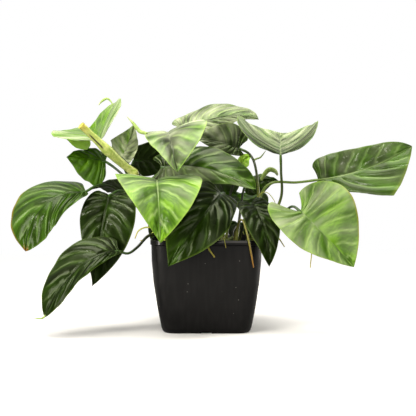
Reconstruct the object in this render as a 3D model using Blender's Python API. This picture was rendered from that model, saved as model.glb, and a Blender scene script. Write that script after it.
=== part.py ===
"""Potted anubias caladiifolia: heart-shaped leaves on long stalks, in a square black nursery pot.

The model is in metres with +Z up. Its origin is on the ground under the middle of the pot, +X is
the plant's right and -Y its front. Sizes and places in the tables are written in millimetres.

Each leaf is one solid, a ribless blade fused to its stalk. The stalks, the cut flower stalk and the
aerial roots stand in plain holes in the soil, and the creeping stem lies in a groove in it.
"""

import math
from dataclasses import dataclass

import bpy
import numpy as np

MM = 0.001
FIT_GAP = 0.3

# Pot: (height, half width) of its outer wall, and its wall, lip, corners, floor and drain holes
POT_HEIGHT = 93.0
POT_WALL = 1.2
POT_PROFILE = (
    (0.0, 42.0), (2.0, 43.9), (5.0, 44.9), (12.0, 46.3),
    (25.0, 48.8), (50.0, 52.4), (72.0, 54.2), (87.6, 54.6),
)
LIP_HEIGHT = 4.6
LIP_HALF = 55.6
LIP_GROOVE = 0.8
POT_CORNER = 14.0
CORNER_STEPS = 3
FLOOR_THICK = 1.5
NOTCH_SIZE = (10.0, 14.0, 3.2)
DRAIN_RADIUS = 4.0
DRAIN_PLACES = ((24.0, 24.0), (-24.0, 24.0), (24.0, -24.0), (-24.0, -24.0))

# Soil: the height of its top, and the size of its lumps
SOIL_TOP = 85.0
SOIL_LUMP = 1.6
SOIL_RINGS = 7
HOLE_TOP = 100.0
FOOT_DEPTH_Z = 74.0

# Blades
BLADE_THICK = 0.8
BLADE_ROWS = 8
BLADE_COLUMNS = 8
WAVES = 2.5

# Stalks
STALK_SIDES = 6
STALK_STEP = 19.0
STALK_RADIUS = (1.7, 1.15)
STALK_REACH = 0.13
STALK_SINK = 0.75


@dataclass
class Leaf:
    """A leaf, in millimetres and degrees. Left and right are as seen from its base to its tip.

    The midrib is given by its base, middle and tip. The face is the way that the upper side looks, and
    six numbers give that at the base and at the tip. The stalk is given by its foot and points above it.
    Each of these is a pair, left and right: halves are the widths of the two half blades, fold is how
    steeply each rises from the midrib, and curl is how much further each bends on the way to its margin.
    The lobe is how far the margin reaches behind the base, as a share of the length, and spread is how
    far out it starts there, as a share of the width. The shoulder is how full the margin is behind its
    widest place, which is at a share of the length, and hold is how far it holds its width past there.
    The tips are handles that shape the margin before the tip, along and across. The wave is the height
    of the margin's ripples.
    """

    name: str
    tone: str
    midrib: tuple
    face: tuple
    halves: tuple
    stalk: tuple
    fold: tuple = (12.0, 12.0)
    curl: tuple = (-18.0, -18.0)
    lobe: tuple = (0.12, 0.12)
    spread: tuple = (0.45, 0.45)
    shoulder: tuple = (1.0, 1.0)
    widest: tuple = (0.3, 0.3)
    tips: tuple = ((0.88, 0.3), (0.88, 0.3))
    hold: tuple = (1.0, 1.0)
    wave: float = 1.2


LEAVES = (
    Leaf(
        "leaf_far_left", "green", ((-121, -22, 141), (-162, -40, 125), (-178, -48, 82)),
        (0, -0.35, 0.95, -0.5, -0.8, 0.3), (24, 36),
        ((-36, -9), (-60, 2, 112), (-86, 2, 138), (-106, -8, 147)),
        fold=(-8, 8), lobe=(0.01, 0.02), spread=(0.2, 0.45), shoulder=(0.85, 1.0),
        widest=(0.6, 0.5), tips=((0.97, 0.6), (0.9, 0.35)),
    ),
    Leaf(
        "leaf_low_left", "dark", ((-86, -50, 83), (-123, -68, 68), (-157, -70, 20)),
        (-0.3, -0.7, 0.65), (15, 28),
        ((-39, -24), (-46, -30, 95), (-57, -37, 97), (-68, -43, 86), (-77, -48, 80)),
        lobe=(0.02, 0.03), spread=(0.2, 0.45), shoulder=(0.9, 1.0), widest=(0.42, 0.4),
        tips=((0.98, 0.7), (0.93, 0.45)),
    ),
    Leaf(
        "leaf_dark_left", "dark", ((-98, -14, 137), (-104, -29, 105), (-115, -22, 45)),
        (-0.1, -0.95, 0.25), (32, 24),
        ((-31, -17), (-54, -10, 118), (-84, -8, 140)),
        lobe=(0.04, 0.04),
        hold=(1.0, 0.9),
        tips=((0.88, 0.3), (0.78, 0.12)),
    ),
    Leaf(
        "leaf_behind_left", "dark", ((-82, 22, 136), (-100, 16, 145), (-118, 12, 142)),
        (0.0, 0.45, 0.9), (16, 16),
        ((-26, 14), (-48, 18, 112), (-70, 22, 130)),
    ),
    Leaf(
        "leaf_front", "young", ((-49, -44, 152), (-46, -90, 140), (-43, -112, 94)),
        (0.0, -0.6, 0.8), (43.5, 41),
        ((-14, -20), (-32, -16, 115), (-46, -26, 143)),
        fold=(12, 18), lobe=(0.04, 0.04),
        spread=(0.45, 0.45),
        widest=(0.3, 0.12),
        hold=(1.0, 0.97),
        tips=((0.88, 0.34), (0.8, 0.28)),
    ),
    Leaf(
        "leaf_upper", "green", ((-39, -14, 200), (-35, -52, 190), (-28, -78, 160)),
        (0.0, -0.6, 0.8), (40, 24),
        ((-8, 6), (-24, 16, 130), (-40, 21, 172), (-42, 8, 194)),
        fold=(26, 8), lobe=(0.1, 0.1), widest=(0.3, 0.2),
    ),
    Leaf(
        "leaf_upright", "dark", ((-88, 6, 172), (-80, -4, 188), (-73, -13, 208)),
        (0.1, -0.85, 0.5), (26, 12),
        ((-19, 6), (-50, 8, 122), (-78, 10, 152)),
        fold=(-14, 12), lobe=(0.03, 0.03), widest=(0.08, 0.35), tips=((0.72, 0.28), (0.88, 0.3)),
        hold=(0.66, 1.0),
    ),
    Leaf(
        "leaf_droop", "dark", ((-103, 6, 171), (-122, 0, 174), (-142, -6, 175)),
        (0.0, -0.2, 1.0), (28, 18),
        ((-33, 8), (-56, 0, 128), (-80, -1, 152), (-94, 4, 164)),
        fold=(-65, 30), curl=(-10, -10), lobe=(0.05, 0.05), widest=(0.2, 0.3),
    ),
    Leaf(
        "leaf_vee_left", "young", ((-106, -20, 191), (-112, 15, 199), (-124, 50, 206)),
        (-0.5, -0.25, 0.87), (49, 44),
        ((-16, 16), (-50, 12, 132), (-66, 2, 154), (-80, -10, 168), (-93, -20, 181)),
        fold=(38, 34), curl=(-8, -8),
    ),
    Leaf(
        "leaf_bud_left", "lime", ((-122, 10, 197), (-132, 4, 195), (-143, -2, 194)),
        (0.0, 0.0, 1.0), (14, 5),
        ((-8, 20), (-40, 20, 130), (-80, 22, 165), (-107, 17, 191)),
        fold=(-75, 10), curl=(0, 0), lobe=(0.03, 0.03), wave=0.4,
    ),
    Leaf(
        "leaf_vee_right", "green", ((73, -44, 177), (75, -8, 188), (79, 28, 200)),
        (0.02, -0.25, 1.0), (54, 47),
        ((36, -12), (62, -14, 108), (75, -16, 134), (74, -34, 160)),
        fold=(16, 18), curl=(36, 40),
    ),
    Leaf(
        "leaf_top", "dark", ((-26, 26, 203), (20, 32, 218), (54, 24, 214)),
        (0.0, -0.42, 1.0), (36, 14),
        ((2, 8), (-6, 22, 130), (-20, 24, 190)),
        fold=(10, -30), lobe=(0.04, 0.08), shoulder=(0.75, 1.0), widest=(0.38, 0.3),
    ),
    Leaf(
        "leaf_dark_upper", "dark", ((34, 12, 184), (13, 8, 190), (-10, 10, 193)),
        (0.0, -0.95, 0.3), (10, 23),
        ((34, 6), (50, 2, 108), (53, 0, 135), (50, 5, 165), (44, 10, 178)),
    ),
    Leaf(
        "leaf_middle", "dark", ((-46, -6, 165), (2, -21.5, 162.5), (49, -38, 143)),
        (0.0, -0.6, 0.8), (34, 21),
        ((-4, -10), (-24, -4, 120), (-44, -2, 152)),
        fold=(12, -45), lobe=(0.1, 0.12), spread=(0.35, 0.5), shoulder=(0.7, 1.0),
        widest=(0.3, 0.2), tips=((0.9, 0.5), (0.88, 0.3)),
        hold=(1.0, 0.6),
    ),
    Leaf(
        "leaf_oval", "dark", ((-76, 26, 172), (-45, 36, 171), (-10, 46, 166)),
        (0.0, 0.75, 0.65), (24, 24),
        ((-25, 18), (-42, 26, 120), (-66, 27, 148), (-77, 27, 163)),
        lobe=(0.04, 0.04),
    ),
    Leaf(
        "leaf_central", "dark", ((15, -30, 139), (-2, -66, 119), (-37, -72, 69)),
        (0.1, -0.95, 0.25, 0.1, -0.8, 0.6), (28, 31),
        ((6, -24), (12, -20, 110), (18, -18, 136)),
        lobe=(0.03, 0.03), shoulder=(0.75, 0.75), widest=(0.42, 0.5),
    ),
    Leaf(
        "leaf_right_dark", "dark", ((44, -31, 129), (56, -56, 106), (61, -63, 68)),
        (0.25, -0.9, 0.35), (18, 18),
        ((28, -22), (36, -26, 105), (41, -28, 124)),
        lobe=(0.08, 0.08),
    ),
    Leaf(
        "leaf_right_front", "young", ((92, -50, 122), (112, -57, 102), (143, -66, 68)),
        (0.2, -0.9, 0.35), (51, 31),
        ((42, -28), (54, -32, 104), (72, -38, 116), (84, -44, 126)),
        lobe=(0.18, 0.33), spread=(0.25, 0.45), widest=(0.16, 0.15),
    ),
    Leaf(
        "leaf_far_right", "green", ((114, 6, 152), (162, -4, 163), (208, -8, 186)),
        (0.0, -0.9, 0.45), (27, 39.5),
        ((41, 10), (54, 10, 130), (66, 8, 148), (92, 6, 149)),
        lobe=(0.05, 0.03), spread=(0.5, 0.15), shoulder=(1.0, 0.42), widest=(0.18, 0.634),
        tips=((0.88, 0.85), (0.93, 0.27)),
        hold=(0.9, 0.66),
    ),
    Leaf(
        "leaf_small_right", "dark", ((41, 30, 148), (57, 26, 152), (74, 22, 151)),
        (0.0, -0.6, 0.8), (9, 16),
        ((29, 13), (34, 26, 110), (38, 31, 138)),
        fold=(5, -40),
    ),
    Leaf(
        "leaf_bud_right", "lime", ((36, 24, 168), (41, 22, 174), (47, 20, 176)),
        (0.0, -0.9, 0.4), (6, 8),
        ((14, 14), (22, 24, 125), (32, 26, 160)),
        wave=0.3,
    ),
    Leaf(
        "leaf_back_left", "green", ((-26, 58, 138), (-47, 86, 141), (-60, 108, 110)),
        (-0.2, 0.3, 1.0), (28, 31),
        ((-12, 26), (-19, 38, 118)),
        fold=(14, 8), lobe=(0.18, 0.18), wave=1.8,
    ),
    Leaf(
        "leaf_back_middle", "dark", ((6, 50, 150), (13, 87, 152), (24, 116, 122)),
        (0.1, 0.3, 1.0), (33, 30),
        ((4, 26), (4, 34, 120)),
        fold=(10, 16), wave=1.6,
    ),
    Leaf(
        "leaf_back_right", "green", ((30, 50, 134), (43, 75, 131), (54, 96, 99)),
        (0.25, 0.3, 1.0), (25, 27),
        ((18, 28), (24, 36, 110)),
        fold=(8, 14), lobe=(0.2, 0.2),
    ),
    Leaf(
        "leaf_back_low", "dark", ((-6, 50, 110), (-12, 81, 106), (-19, 104, 68)),
        (0.0, 0.6, 0.8), (27, 24),
        ((-4, 34), (-5, 38, 98)),
        fold=(6, 14), wave=1.7,
    ),
    Leaf(
        "leaf_back_low_right", "dark", ((32, 48, 104), (38, 75, 97), (43, 94, 58)),
        (0.2, 0.6, 0.8), (19, 21),
        ((24, 36), (27, 39, 96)),
        lobe=(0.2, 0.2),
    ),
    Leaf(
        "leaf_back_low_left", "dark", ((-35, 46, 106), (-43, 72, 99), (-49, 91, 62)),
        (-0.2, 0.6, 0.8), (21, 18),
        ((-26, 34), (-31, 38, 96)),
        fold=(14, 6),
    ),
)

# Stems and roots: points from the foot up or out, and the radius at each
CREEPING_STEM = (
    ((-43, 1, 82.5), 3.4), ((-30, -2.5, 85.2), 4.3), ((-12, -1.5, 86), 4.5),
    ((6, -2.5, 86.3), 4.3), ((20, -1.5, 87.5), 4.0), ((28, -2, 92.5), 3.0),
)
CUT_STALK = (
    ((-26, -15, 74), 2.0), ((-44, -11, 112), 2.1), ((-69, -10, 151), 2.4),
    ((-73, -13, 158), 5.0), ((-77, -16, 162), 4.0), ((-85, -22, 168.5), 4.0),
    ((-99, -34, 182), 4.9), ((-108, -39, 191), 3.8), ((-123, -48, 206), 3.2),
)
ROOTS = {
    "root_front_long": (
        ((24, -34, 74), 1.0), ((30, -40, 104), 1.0), ((35, -53, 113), 1.0),
        ((40, -60, 98), 1.0), ((43, -60, 84), 0.9), ((46, -59, 67), 0.5),
    ),
    "root_front_short": (
        ((-5, -36, 74), 1.0), ((-6, -46, 98), 1.0), ((-3, -56, 99), 1.0),
        ((2, -59, 86), 0.9), ((8, -60, 77), 0.6),
    ),
    "root_left": (
        ((-34, -31, 74), 0.9), ((-46, -33, 100), 0.9), ((-58, -35, 105), 0.8),
        ((-67, -37, 102), 0.7), ((-71, -38, 94), 0.5),
    ),
    "root_right": (
        ((44, -18, 74), 0.9), ((50, -20, 102), 0.9), ((62, -24, 112), 0.8),
        ((86, -32, 106), 0.7), ((103, -38, 88), 0.6), ((103, -38, 65), 0.5),
    ),
    "root_right_short": (
        ((44, -4, 74), 0.9), ((52, -6, 100), 0.9), ((64, -8, 105), 0.8),
        ((73, -10, 93), 0.7), ((79, -11, 84), 0.5),
    ),
}

# Finishes: colour as linear red, green and blue, then roughness
FINISHES = {
    "dark": ((0.022, 0.075, 0.012), 0.35),
    "green": ((0.06, 0.19, 0.025), 0.35),
    "young": ((0.16, 0.40, 0.06), 0.38),
    "lime": ((0.30, 0.55, 0.07), 0.42),
    "pot": ((0.012, 0.012, 0.012), 0.4),
    "soil": ((0.03, 0.02, 0.013), 0.95),
    "stem": ((0.10, 0.11, 0.03), 0.6),
    "pale": ((0.55, 0.60, 0.20), 0.5),
    "root": ((0.42, 0.34, 0.10), 0.6),
}


def clear_scene():
    """Remove every object of the startup scene."""
    for obj in list(bpy.data.objects):
        bpy.data.objects.remove(obj)


def finish_named(name):
    """The material of a finish, made once."""
    if name in bpy.data.materials:
        return bpy.data.materials[name]
    colour, roughness = FINISHES[name]
    material = bpy.data.materials.new(name)
    material.use_nodes = True
    shader = material.node_tree.nodes["Principled BSDF"]
    shader.inputs["Base Color"].default_value = (*colour, 1.0)
    shader.inputs["Roughness"].default_value = roughness
    shader.inputs["Metallic"].default_value = 0.0
    return material


def new_object(name, points, faces, finish, origin=(0.0, 0.0, 0.0)):
    """A smooth-shaded object of faces and points in millimetres, with its origin at the given place."""
    mesh = bpy.data.meshes.new(name)
    points = (np.asarray(points, float) - origin) * MM
    mesh.from_pydata(points.tolist(), [], [list(map(int, face)) for face in faces])
    mesh.validate()
    mesh.shade_smooth()
    mesh.set_sharp_from_angle(angle=math.radians(40))
    obj = bpy.data.objects.new(name, mesh)
    obj.location = np.asarray(origin, float) * MM
    obj.data.materials.append(finish_named(finish))
    bpy.context.scene.collection.objects.link(obj)
    return obj


def as_helper(obj):
    """Mark an object as a cutter or joined piece, which is no part of its own."""
    obj.hide_render = True
    obj.display_type = "WIRE"
    return obj


def boolean(obj, other, operation):
    """Join another object to this one, or cut it away, with a modifier."""
    modifier = obj.modifiers.new(operation.title(), "BOOLEAN")
    modifier.operation = operation
    modifier.solver = "EXACT"
    modifier.object = other
    return modifier


def unit(vector):
    """The vector or rows of vectors at length one."""
    vector = np.asarray(vector, float)
    return vector / np.linalg.norm(vector, axis=-1, keepdims=True)


def spline(points, step):
    """Points about step apart on a smooth curve through the given ones, which carries extra values along."""
    points = np.asarray(points, float)
    ends = np.vstack([2 * points[0] - points[1], points, 2 * points[-1] - points[-2]])
    made = [points[0]]
    for a, b, c, d in zip(ends, ends[1:], ends[2:], ends[3:]):
        count = max(1, round(float(np.linalg.norm((c - b)[:3])) / step))
        for i in range(1, count + 1):
            t = i / count
            square, cube = 2 * a - 5 * b + 4 * c - d, 3 * b - a - 3 * c + d
            made.append(0.5 * (2 * b + (c - a) * t + square * t**2 + cube * t**3))
    return np.array(made)


def tube(path, radii, sides):
    """Points and faces of a closed round tube along a path, with a radius at each of its points."""
    path = np.asarray(path, float)
    tangents = unit(np.gradient(path, axis=0))
    side = unit(np.cross(tangents[0], (0.31, 0.87, 0.38)))
    rings = []
    for centre, tangent, radius in zip(path, tangents, radii):
        side = unit(side - (side @ tangent) * tangent)
        other = np.cross(tangent, side)
        turns = 2 * math.pi * np.arange(sides) / sides
        rings.append(centre + radius * (np.outer(np.cos(turns), side) + np.outer(np.sin(turns), other)))
    return loft(rings)


def loft(rings):
    """Points and faces of the closed solid through rings of equal count, capped flat at both ends."""
    count = len(rings[0])
    faces = [tuple(range(count - 1, -1, -1))]
    for ring in range(len(rings) - 1):
        low, high = ring * count, (ring + 1) * count
        for i in range(count):
            j = (i + 1) % count
            faces.append((low + i, low + j, high + j, high + i))
    last = (len(rings) - 1) * count
    faces.append(tuple(range(last, last + count)))
    return np.vstack(rings), faces


def rounded_square(half, z):
    """A ring round a square whose corners run parallel to the pot's, anticlockwise from above."""
    corner = min(max(POT_CORNER + half - outer_half(z), 4.0), half * 0.6)
    ring = []
    for quarter in range(4):
        middle = math.radians(45 + 90 * quarter)
        reach = (half - corner) * math.sqrt(2)
        cx, cy = reach * math.cos(middle), reach * math.sin(middle)
        for step in range(CORNER_STEPS + 1):
            turn = math.radians(90 * quarter + 90 * step / CORNER_STEPS)
            ring.append((cx + corner * math.cos(turn), cy + corner * math.sin(turn), z))
    return np.array(ring)


def outer_half(z):
    """Half width of the pot's outer wall at a height."""
    heights, halves = zip(*POT_PROFILE)
    return float(np.interp(z, heights, halves))


def build_pot():
    """The pot: a tapering square cup with round corners, a lip, a flat floor, drain holes and notches."""
    lip_low = POT_HEIGHT - LIP_HEIGHT
    outline = [(12.0, 0.0)]
    outline += [(half, z) for z, half in POT_PROFILE]
    outline += [(LIP_HALF - LIP_GROOVE - POT_WALL * 0.5, lip_low - 0.4), (LIP_HALF, lip_low)]
    outline += [(LIP_HALF, POT_HEIGHT - 0.6)]
    outline += [(LIP_HALF - 0.6, POT_HEIGHT), (LIP_HALF - 2.0, POT_HEIGHT)]
    outline += [(LIP_HALF - 2.4, POT_HEIGHT - 0.6)]
    outline += [(outer_half(z) - POT_WALL, z) for z in (lip_low - 3, 72.0, 50.0, 25.0, 12.0)]
    outline += [(outer_half(FLOOR_THICK) - POT_WALL - 1.0, FLOOR_THICK), (12.0, FLOOR_THICK)]
    rings = [rounded_square(half, z) for half, z in outline]
    pot = new_object("pot", *loft(rings), "pot")
    for number, (x, y) in enumerate(DRAIN_PLACES):
        path = [(x, y, -1.0), (x, y, FLOOR_THICK + 1)]
        hole = new_object(f"drain_cutter_{number}", *tube(path, (DRAIN_RADIUS,) * 2, 12), "pot")
        boolean(pot, as_helper(hole), "DIFFERENCE")
    for number, (x, y) in enumerate(((0, -1), (1, 0), (0, 1), (-1, 0))):
        wide, deep, high = NOTCH_SIZE
        notch = new_object(f"notch_cutter_{number}", *notch_prism(wide, deep, high), "pot")
        notch.location = (x * 42.0 * MM, y * 42.0 * MM, 0.0)
        notch.rotation_euler.z = math.radians(90 * number)
        boolean(pot, as_helper(notch), "DIFFERENCE")
    return pot


def notch_prism(wide, deep, high):
    """Points and faces of a low arched prism that runs through the edge of the floor and the wall."""
    arch = [(-wide / 2, -1.0), (wide / 2, -1.0), (wide / 2, high * 0.4), (wide * 0.3, high)]
    arch += [(-wide * 0.3, high), (-wide / 2, high * 0.4)]
    rings = [np.array([(x, y, z) for x, z in arch]) for y in (deep / 2, -deep / 2)]
    return loft(rings)


def soil_height(x, y):
    """Height of the soil's lumpy, slightly mounded top at a place."""
    mound = 3.0 * math.cos(math.pi * min(1.0, math.hypot(x, y) / 60) / 2)
    lumps = math.sin(x * 0.31 + 1.3) * math.sin(y * 0.27 + 0.4) + 0.5 * math.sin(x * 0.13 - y * 0.21)
    return SOIL_TOP - 2.0 + mound + SOIL_LUMP * 0.5 * lumps


def build_soil(cutters):
    """The soil in the pot, with a lumpy top, holes for what stands in it and the creeping stem's groove."""
    inset = POT_WALL + FIT_GAP * 1.2
    levels = [(FLOOR_THICK + FIT_GAP, outer_half(FLOOR_THICK) - inset - 1.2)]
    levels += [(z, outer_half(z) - inset) for z in (12.0, 25.0, 50.0, 72.0)]
    top_half = outer_half(SOIL_TOP) - inset - 0.4
    rings = [rounded_square(half, z) for z, half in levels]
    for ring in range(SOIL_RINGS):
        edge = rounded_square(top_half * (1 - ring / SOIL_RINGS), SOIL_TOP)
        edge[:, 2] = [soil_height(x, y) for x, y, _ in edge]
        rings.append(edge)
    soil = new_object("soil", *loft(rings), "soil")
    for cutter in cutters:
        boolean(soil, as_helper(cutter), "DIFFERENCE")
    return soil


def cubic(a, b, c, d, t):
    """A point on a cubic curve with two ends and two handles."""
    a, b, c, d = (np.asarray(p, float) for p in (a, b, c, d))
    return a * (1 - t) ** 3 + 3 * b * t * (1 - t) ** 2 + 3 * c * t**2 * (1 - t) + d * t**3


def half_outline(leaf, side, length, u):
    """(along, across) of a half blade's margin: u runs from the rear of the lobe, 0, to the tip, 1."""
    width, back, full = leaf.halves[side], leaf.lobe[side] * length, leaf.shoulder[side]
    rear = (-back, leaf.spread[side] * width)
    widest = (leaf.widest[side] * length, width)
    if u < 0.4:
        out = (rear[0] - 0.25 * back, rear[1] + 0.35 * width * full)
        before = (widest[0] - 0.5 * (widest[0] - rear[0]), width * full)
        return cubic(rear, out, before, widest, u / 0.4)
    ahead = (widest[0] + 0.42 * (length - widest[0]), width * leaf.hold[side])
    handle = (leaf.tips[side][0] * length, leaf.tips[side][1] * width)
    return cubic(widest, ahead, handle, (length, 0.0), (u - 0.4) / 0.6)


def midrib_curve(leaf):
    """Points along the midrib's parabola, and their distances from the base."""
    base, middle, tip = (np.asarray(p, float) for p in leaf.midrib)
    q = np.linspace(0, 1, 81)[:, None]
    points = (1 - q) * (1 - 2 * q) * base + 4 * q * (1 - q) * middle + q * (2 * q - 1) * tip
    along = np.concatenate([[0], np.cumsum(np.linalg.norm(np.diff(points, axis=0), axis=1))])
    return points, along


def blade_frame(leaf, points, along, s):
    """Midrib point, right side and upward normal at a distance s from the base, or behind it if below 0."""
    tangents = unit(np.gradient(points, axis=0))
    at = np.array([np.interp(s, along, points[:, i]) for i in range(3)])
    tangent = unit([np.interp(s, along, tangents[:, i]) for i in range(3)])
    at = at + tangents[0] * min(s, 0.0)
    share = min(max(s / along[-1], 0.0), 1.0)
    normal = (1 - share) * unit(leaf.face[:3]) + share * unit(leaf.face[-3:])
    normal = unit(normal - (normal @ tangent) * tangent)
    return at, np.cross(tangent, normal), normal


def bent(across, width, fold, curl):
    """(out, up) of a point across a half blade that rises by fold and bends on by curl to its margin."""
    start, turn = math.radians(fold), math.radians(curl)
    if abs(turn) < 1e-6:
        return across * math.cos(start), across * math.sin(start)
    radius = width / turn
    end = start + across / radius
    return radius * (math.sin(end) - math.sin(start)), radius * (math.cos(start) - math.cos(end))


def blade_grid(leaf, rows, columns):
    """Points of the blade's middle surface. Rows follow the ribs, and columns run left to right."""
    points, along = midrib_curve(leaf)
    length = along[-1]
    grid = np.zeros((rows + 1, columns + 1, 3))
    for i in range(rows + 1):
        u = i / rows
        start = length * (0.15 * u + 0.85 * u * u)
        for j in range(columns + 1):
            v = 2 * j / columns - 1
            side = 0 if v < 0 else 1
            margin_s, margin_t = half_outline(leaf, side, length, u)
            s = start + (margin_s - start) * abs(v) ** 1.5
            at, right, normal = blade_frame(leaf, points, along, s)
            out, up = bent(margin_t * abs(v), leaf.halves[side], leaf.fold[side], leaf.curl[side])
            ripple = math.sin(2 * math.pi * WAVES * u + 2.1 * side)
            up += leaf.wave * ripple * v * v * math.sin(math.pi * u)
            grid[i, j] = at + right * math.copysign(out, v) + normal * up
    return grid


def grid_triangles(rows, columns):
    """Triangles of a grid whose last row is one point."""
    wide = columns + 1
    made = []
    for i in range(rows - 1):
        for j in range(columns):
            a, b = i * wide + j, i * wide + j + 1
            c, d = a + wide, b + wide
            made += [(a, b, d), (a, d, c)] if j < columns / 2 else [(a, b, c), (b, d, c)]
    tip = rows * wide
    made += [((rows - 1) * wide + j, (rows - 1) * wide + j + 1, tip) for j in range(columns)]
    return np.array(made)


def blade_solid(leaf):
    """Points and faces of the blade, with its margin closed."""
    rows, columns = BLADE_ROWS, BLADE_COLUMNS
    grid = blade_grid(leaf, rows, columns)
    wide = columns + 1
    middle = np.vstack([grid[:-1].reshape(-1, 3), grid[-1, columns // 2]])
    triangles = grid_triangles(rows, columns)
    corners = middle[triangles]
    flat = np.cross(corners[:, 1] - corners[:, 0], corners[:, 2] - corners[:, 0])
    normals = np.zeros_like(middle)
    for corner in range(3):
        np.add.at(normals, triangles[:, corner], flat)
    normals = unit(normals) * BLADE_THICK / 2
    count = len(middle)
    rim = list(range(columns, -1, -1)) + [i * wide for i in range(1, rows)] + [rows * wide]
    rim += [i * wide + columns for i in range(rows - 1, 0, -1)]
    faces = triangles.tolist() + (triangles[:, ::-1] + count).tolist()
    for a, b in zip(rim, rim[1:] + rim[:1]):
        faces += [(a, b, a + count), (b, b + count, a + count)]
    return np.vstack([middle + normals, middle - normals]), faces


def stalk_path(leaf):
    """Points of the leaf's stalk, from its foot to a little way under the midrib, and its radii."""
    foot = (*leaf.stalk[0], FOOT_DEPTH_Z)
    points, along = midrib_curve(leaf)
    under = []
    for share, sink in ((0.0, STALK_SINK), (STALK_REACH, STALK_SINK * 0.6)):
        at, _, normal = blade_frame(leaf, points, along, share * along[-1])
        under.append(at - normal * sink)
    path = spline([foot, *leaf.stalk[1:], under[0]], STALK_STEP)
    path = np.vstack([path, under[1]])
    share = np.linspace(0, 1, len(path))
    radii = STALK_RADIUS[0] + (STALK_RADIUS[1] - STALK_RADIUS[0]) * share
    radii[-1] = STALK_RADIUS[1] * 0.6
    return path, radii


def hole_cutter(name, path, radii, sides):
    """A cutter round the part of a path that is in the soil, a gap wider than what stands there."""
    keep = 2
    while keep < len(path) and path[keep - 1][2] < min(HOLE_TOP, path[keep][2]):
        keep += 1
    path, radii = np.array(path[:keep]), np.array(radii[:keep])
    path[0] -= unit(path[1] - path[0]) * FIT_GAP
    return new_object(f"hole_{name}", *tube(path, radii + FIT_GAP * 1.3, sides), "soil")


def build_leaf(leaf):
    """A leaf: its blade and stalk in one solid. Returns the cutter of its hole in the soil."""
    path, radii = stalk_path(leaf)
    foot = path[0]
    blade = new_object(leaf.name, *blade_solid(leaf), leaf.tone, foot)
    stalk = new_object(f"stalk_of_{leaf.name}", *tube(path, radii, STALK_SIDES), leaf.tone, foot)
    boolean(blade, as_helper(stalk), "UNION")
    return hole_cutter(leaf.name, path, radii, STALK_SIDES)


def build_stem(name, points, finish, step, sides):
    """A stem or root through the given points and radii. Returns the cutter of its hole in the soil."""
    line = spline([(*place, radius) for place, radius in points], step)
    new_object(name, *tube(line[:, :3], line[:, 3], sides), finish, line[0, :3])
    return hole_cutter(name, line[:, :3], line[:, 3], sides)


def build_plant():
    """Every leaf, stem and root. Returns the cutters of their holes in the soil."""
    cutters = [build_leaf(leaf) for leaf in LEAVES]
    cutters.append(build_stem("cut_flower_stalk", CUT_STALK, "pale", 9.0, 8))
    cutters.append(build_stem("creeping_stem", CREEPING_STEM, "stem", 6.0, 8))
    cutters += [build_stem(name, points, "root", 8.0, 5) for name, points in ROOTS.items()]
    return cutters


def main():
    """Model the whole object."""
    clear_scene()
    build_pot()
    build_soil(build_plant())


main()
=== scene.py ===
"""The looks of a potted anubias caladiifolia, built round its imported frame.

Every piece is a finer mesh that keeps the form of the CAD node it stands for, apart from the fine roots
and the withered strips, which stand for none. Sizes and places are in millimetres, with +Z up, +X to the
plant's right and -Y its front, and MM turns them to metres. Those of the studio are in metres.
"""

import logging
import math
from dataclasses import dataclass, field
from enum import Enum

import bpy
import numpy as np
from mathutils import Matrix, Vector


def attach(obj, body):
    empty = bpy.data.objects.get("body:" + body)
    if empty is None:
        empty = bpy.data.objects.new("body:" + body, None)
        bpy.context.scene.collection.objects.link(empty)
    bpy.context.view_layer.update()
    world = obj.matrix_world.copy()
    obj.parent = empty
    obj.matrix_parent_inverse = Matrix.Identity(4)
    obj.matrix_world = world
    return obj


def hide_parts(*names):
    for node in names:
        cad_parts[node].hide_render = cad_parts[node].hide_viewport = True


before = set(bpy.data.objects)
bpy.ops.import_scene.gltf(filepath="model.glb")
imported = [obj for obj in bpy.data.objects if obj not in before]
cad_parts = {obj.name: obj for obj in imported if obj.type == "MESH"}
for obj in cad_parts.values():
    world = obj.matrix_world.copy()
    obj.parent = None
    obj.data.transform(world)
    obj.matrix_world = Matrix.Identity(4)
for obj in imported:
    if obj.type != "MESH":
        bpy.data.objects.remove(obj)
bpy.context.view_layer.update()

MM = 0.001
BODY = "root"
LOG = logging.getLogger("anubias")

Pair = tuple[float, float]
Place = tuple[float, float, float]
Knots = tuple[tuple[Place, float], ...]
# Where a range starts and ends, and what it becomes there
Span = tuple[float, float, float, float]
# Places from 0 to 1 and their hex colours
Shades = tuple[tuple[float, str], ...]

# A direction that no tube starts in
ASKEW = (0.31, 0.87, 0.38)
# How short each of the waves in a ripple is, and what brings their sum to about 1
OCTAVES = (1.0, 1.7, 2.9)
OCTAVES_SUM = 1.6
# The refractive index of the skin of stalks and roots
SKIN_IOR = 1.45
WHITE = (1.0, 1.0, 1.0, 1.0)


class Slot(Enum):
    """The material slots."""

    POT = "pot"
    SOIL = "soil"
    STEM = "stem"
    PALE_STALK = "pale_stalk"
    ROOT = "root"
    LEAF_DARK = "leaf_dark"
    LEAF_GREEN = "leaf_green"
    LEAF_YOUNG = "leaf_young"
    LEAF_LIME = "leaf_lime"


# Numbers and curves


def unit(vector: np.ndarray) -> np.ndarray:
    """The vector, or each row of vectors, at length one."""
    vector = np.asarray(vector, float)
    return vector / np.linalg.norm(vector, axis=-1, keepdims=True)


def ease(value: np.ndarray, low: float, high: float) -> np.ndarray:
    """A smooth step.

    Args:
        value: numbers of any shape.
        low: where the step leaves 0.
        high: where it reaches 1. It may be below low, for a step down.

    Returns:
        Numbers from 0 to 1, of the same shape.
    """
    share = np.clip((np.asarray(value, float) - low) / (high - low), 0.0, 1.0)
    return share * share * (3.0 - 2.0 * share)


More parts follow.
